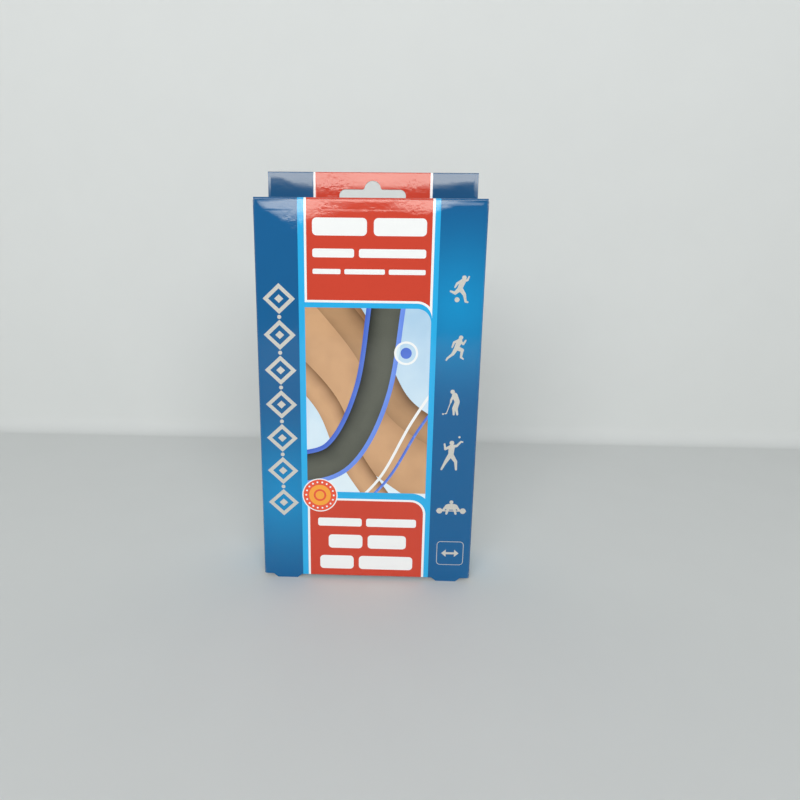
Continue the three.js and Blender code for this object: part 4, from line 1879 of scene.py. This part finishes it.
# %% Bottom lid
LOCK_WIDTH = 3.0
NOTCH_PLAY = 0.3
base_run = BACK - CREASE - (base_low[1] + CREASE)
base_path = fold_path((BACK, FLOOR + CREASE), -QUARTER, [
    {"turn": QUARTER, "radius": CREASE},
    {"run": base_run},
    {"turn": QUARTER, "radius": CREASE},
    {"run": TUCK_LENGTH},
], side=-1)
base_length = base_path["length"]
lock_start = QUARTER * CREASE + base_run + CREASE - LOCK_WIDTH
notch_depth = QUARTER * CREASE + (FLOOR - CREASE)


def base_outline():
    half = SIDE - TUCK_INSET
    wide = SIDE - LID_INSET
    notch_outer = SIDE - FOOT_INSET + NOTCH_PLAY
    notch_inner = SIDE - FOOT_INSET - FOOT_LENGTH - NOTCH_PLAY
    right = [
        (notch_inner, 0.0), (notch_inner, notch_depth), (notch_outer, notch_depth), (notch_outer, 0.0),
        (wide, 0.0), (wide, lock_start), (half, lock_start),
        *arc((half - TUCK_CORNER, base_length - TUCK_CORNER), TUCK_CORNER, 0, 90),
    ]
    return [*right, *[(-x, y) for x, y in right[::-1]]]


board_piece(
    "bottom_board", "bottom_lid", "carton", base_outline(), fold_along(base_path),
    [], (), crease_lines(base_path),
)

# %% [markdown]
# A product photograph like this one has a pale wall and a pale floor of one sheet of paper, which sweeps
# up from the one into the other.

# %% Wall and floor
SWEEP_RADIUS = 16.0
WALL_PLACE = 250.0
WALL_TOP = 1400.0
STAGE_FRONT = -1200.0
STAGE_HALF = 1500.0
bend_start = WALL_PLACE - SWEEP_RADIUS
stage_section = [(STAGE_FRONT, 0.0), (bend_start, 0.0)]
stage_section += [
    (bend_start + SWEEP_RADIUS * math.sin(t), SWEEP_RADIUS * (1 - math.cos(t)))
    for t in np.linspace(0, QUARTER, 13)[1:]
]
stage_section.append((WALL_PLACE, WALL_TOP))
stage_points = [(x, y, z) for y, z in stage_section for x in (-STAGE_HALF, STAGE_HALF)]
stage_faces = [(2 * i, 2 * i + 1, 2 * i + 3, 2 * i + 2) for i in range(len(stage_section) - 1)]
stage_mesh = bpy.data.meshes.new("studio_sweep")
stage_mesh.from_pydata([tuple(c * MM for c in point) for point in stage_points], [], stage_faces)
stage_mesh.polygons.foreach_set("use_smooth", [True] * len(stage_faces))
stage = bpy.data.objects.new("studio_sweep", stage_mesh)
bpy.context.scene.collection.objects.link(stage)
material, tree, shader = start_material("studio_paper")
paper = place_group(tree, ink_group, Ink=srgb(219, 221, 219), Drift=0.03, Tooth=0.02)
tree.links.new(paper.outputs["Color"], shader.inputs["Base Color"])
shader.inputs["Roughness"].default_value = 0.9
stage_mesh.materials.append(material)
print("stage:", len(stage_faces), "faces, the wall", WALL_PLACE, "mm behind the carton")

# %% [markdown]
# A soft box is a lamp behind a large white cloth: an area light that is aimed at a point.

# %% Helper: a soft box


def soft_box(name, place, target, size, power):
    data = bpy.data.lights.new(name, "AREA")
    data.shape = "RECTANGLE"
    data.size, data.size_y = size[0] * MM, size[1] * MM
    data.energy = power
    light = bpy.data.objects.new(name, data)
    bpy.context.scene.collection.objects.link(light)
    light.location = Vector(place) * MM
    aim = Vector(target) - Vector(place)
    light.rotation_mode = "QUATERNION"
    light.rotation_quaternion = aim.to_track_quat("-Z", "Y")
    return light


print("helper made:", soft_box.__name__)

# %% [markdown]
# The main light is a broad window behind the camera. It lights the print evenly, and it mirrors in the
# film as a soft band along the top of the front and of the tab. It is brightest near its sill, which
# gives that band its bright edge.

# %% Window that is brightest near its sill
SILL_GLOW = [
    (0.0, (0.14, 0.14, 0.13, 1.0)),
    (0.07, (0.34, 0.34, 0.31, 1.0)),
    (0.15, (1.0, 0.98, 0.88, 1.0)),
    (0.42, (0.52, 0.53, 0.56, 1.0)),
]


def grade_upwards(light, steps):
    """Colours by height, from the light's own coordinates: the steps go from its sill to its top."""
    light.data.use_nodes = True
    tree = light.data.node_tree
    geometry = tree.nodes.new("ShaderNodeNewGeometry")
    split = tree.nodes.new("ShaderNodeSeparateXYZ")
    ramp = tree.nodes.new("ShaderNodeValToRGB")
    while len(ramp.color_ramp.elements) < len(steps):
        ramp.color_ramp.elements.new(0.5)
    for element, (place, colour) in zip(ramp.color_ramp.elements, steps):
        element.position, element.color = place, colour
    tree.links.new(geometry.outputs["Parametric"], split.inputs[0])
    tree.links.new(split.outputs["Y"], ramp.inputs[0])
    tree.links.new(ramp.outputs["Color"], tree.nodes["Emission"].inputs["Color"])


print("steps of light in the window:", len(SILL_GLOW))

# %% [markdown]
# The window's strength follows from the radiance that its reflection needs. A weak second light and the
# sky fill the shadows.

# %% Lights and sky
BOX_MIDDLE_X = -60.0
BOX_PLACE = -1400.0
BOX_LOW = 474.0
BOX_SIZE = (2000.0, 760.0)
BOX_RADIANCE = 8.6
SKY_COLOUR = (0.92, 0.96, 1.0, 1.0)
SKY_STRENGTH = 0.3

box_power = math.pi * BOX_RADIANCE * BOX_SIZE[0] * BOX_SIZE[1] * MM * MM
box_level = BOX_LOW + BOX_SIZE[1] / 2
box_place = (BOX_MIDDLE_X, BOX_PLACE, box_level)
window_box = soft_box("window_box", box_place, (BOX_MIDDLE_X, 0.0, box_level), BOX_SIZE, box_power)
grade_upwards(window_box, SILL_GLOW)
soft_box("back_fill", place=(700, 900, 1100), target=(0, 0, 100), size=(900, 700), power=4.0)
world = bpy.data.worlds.new("studio_world")
bpy.context.scene.world = world
world.use_nodes = True
background = world.node_tree.nodes["Background"]
background.inputs["Color"].default_value = SKY_COLOUR
background.inputs["Strength"].default_value = SKY_STRENGTH
bpy.context.scene.view_settings.view_transform = "Standard"
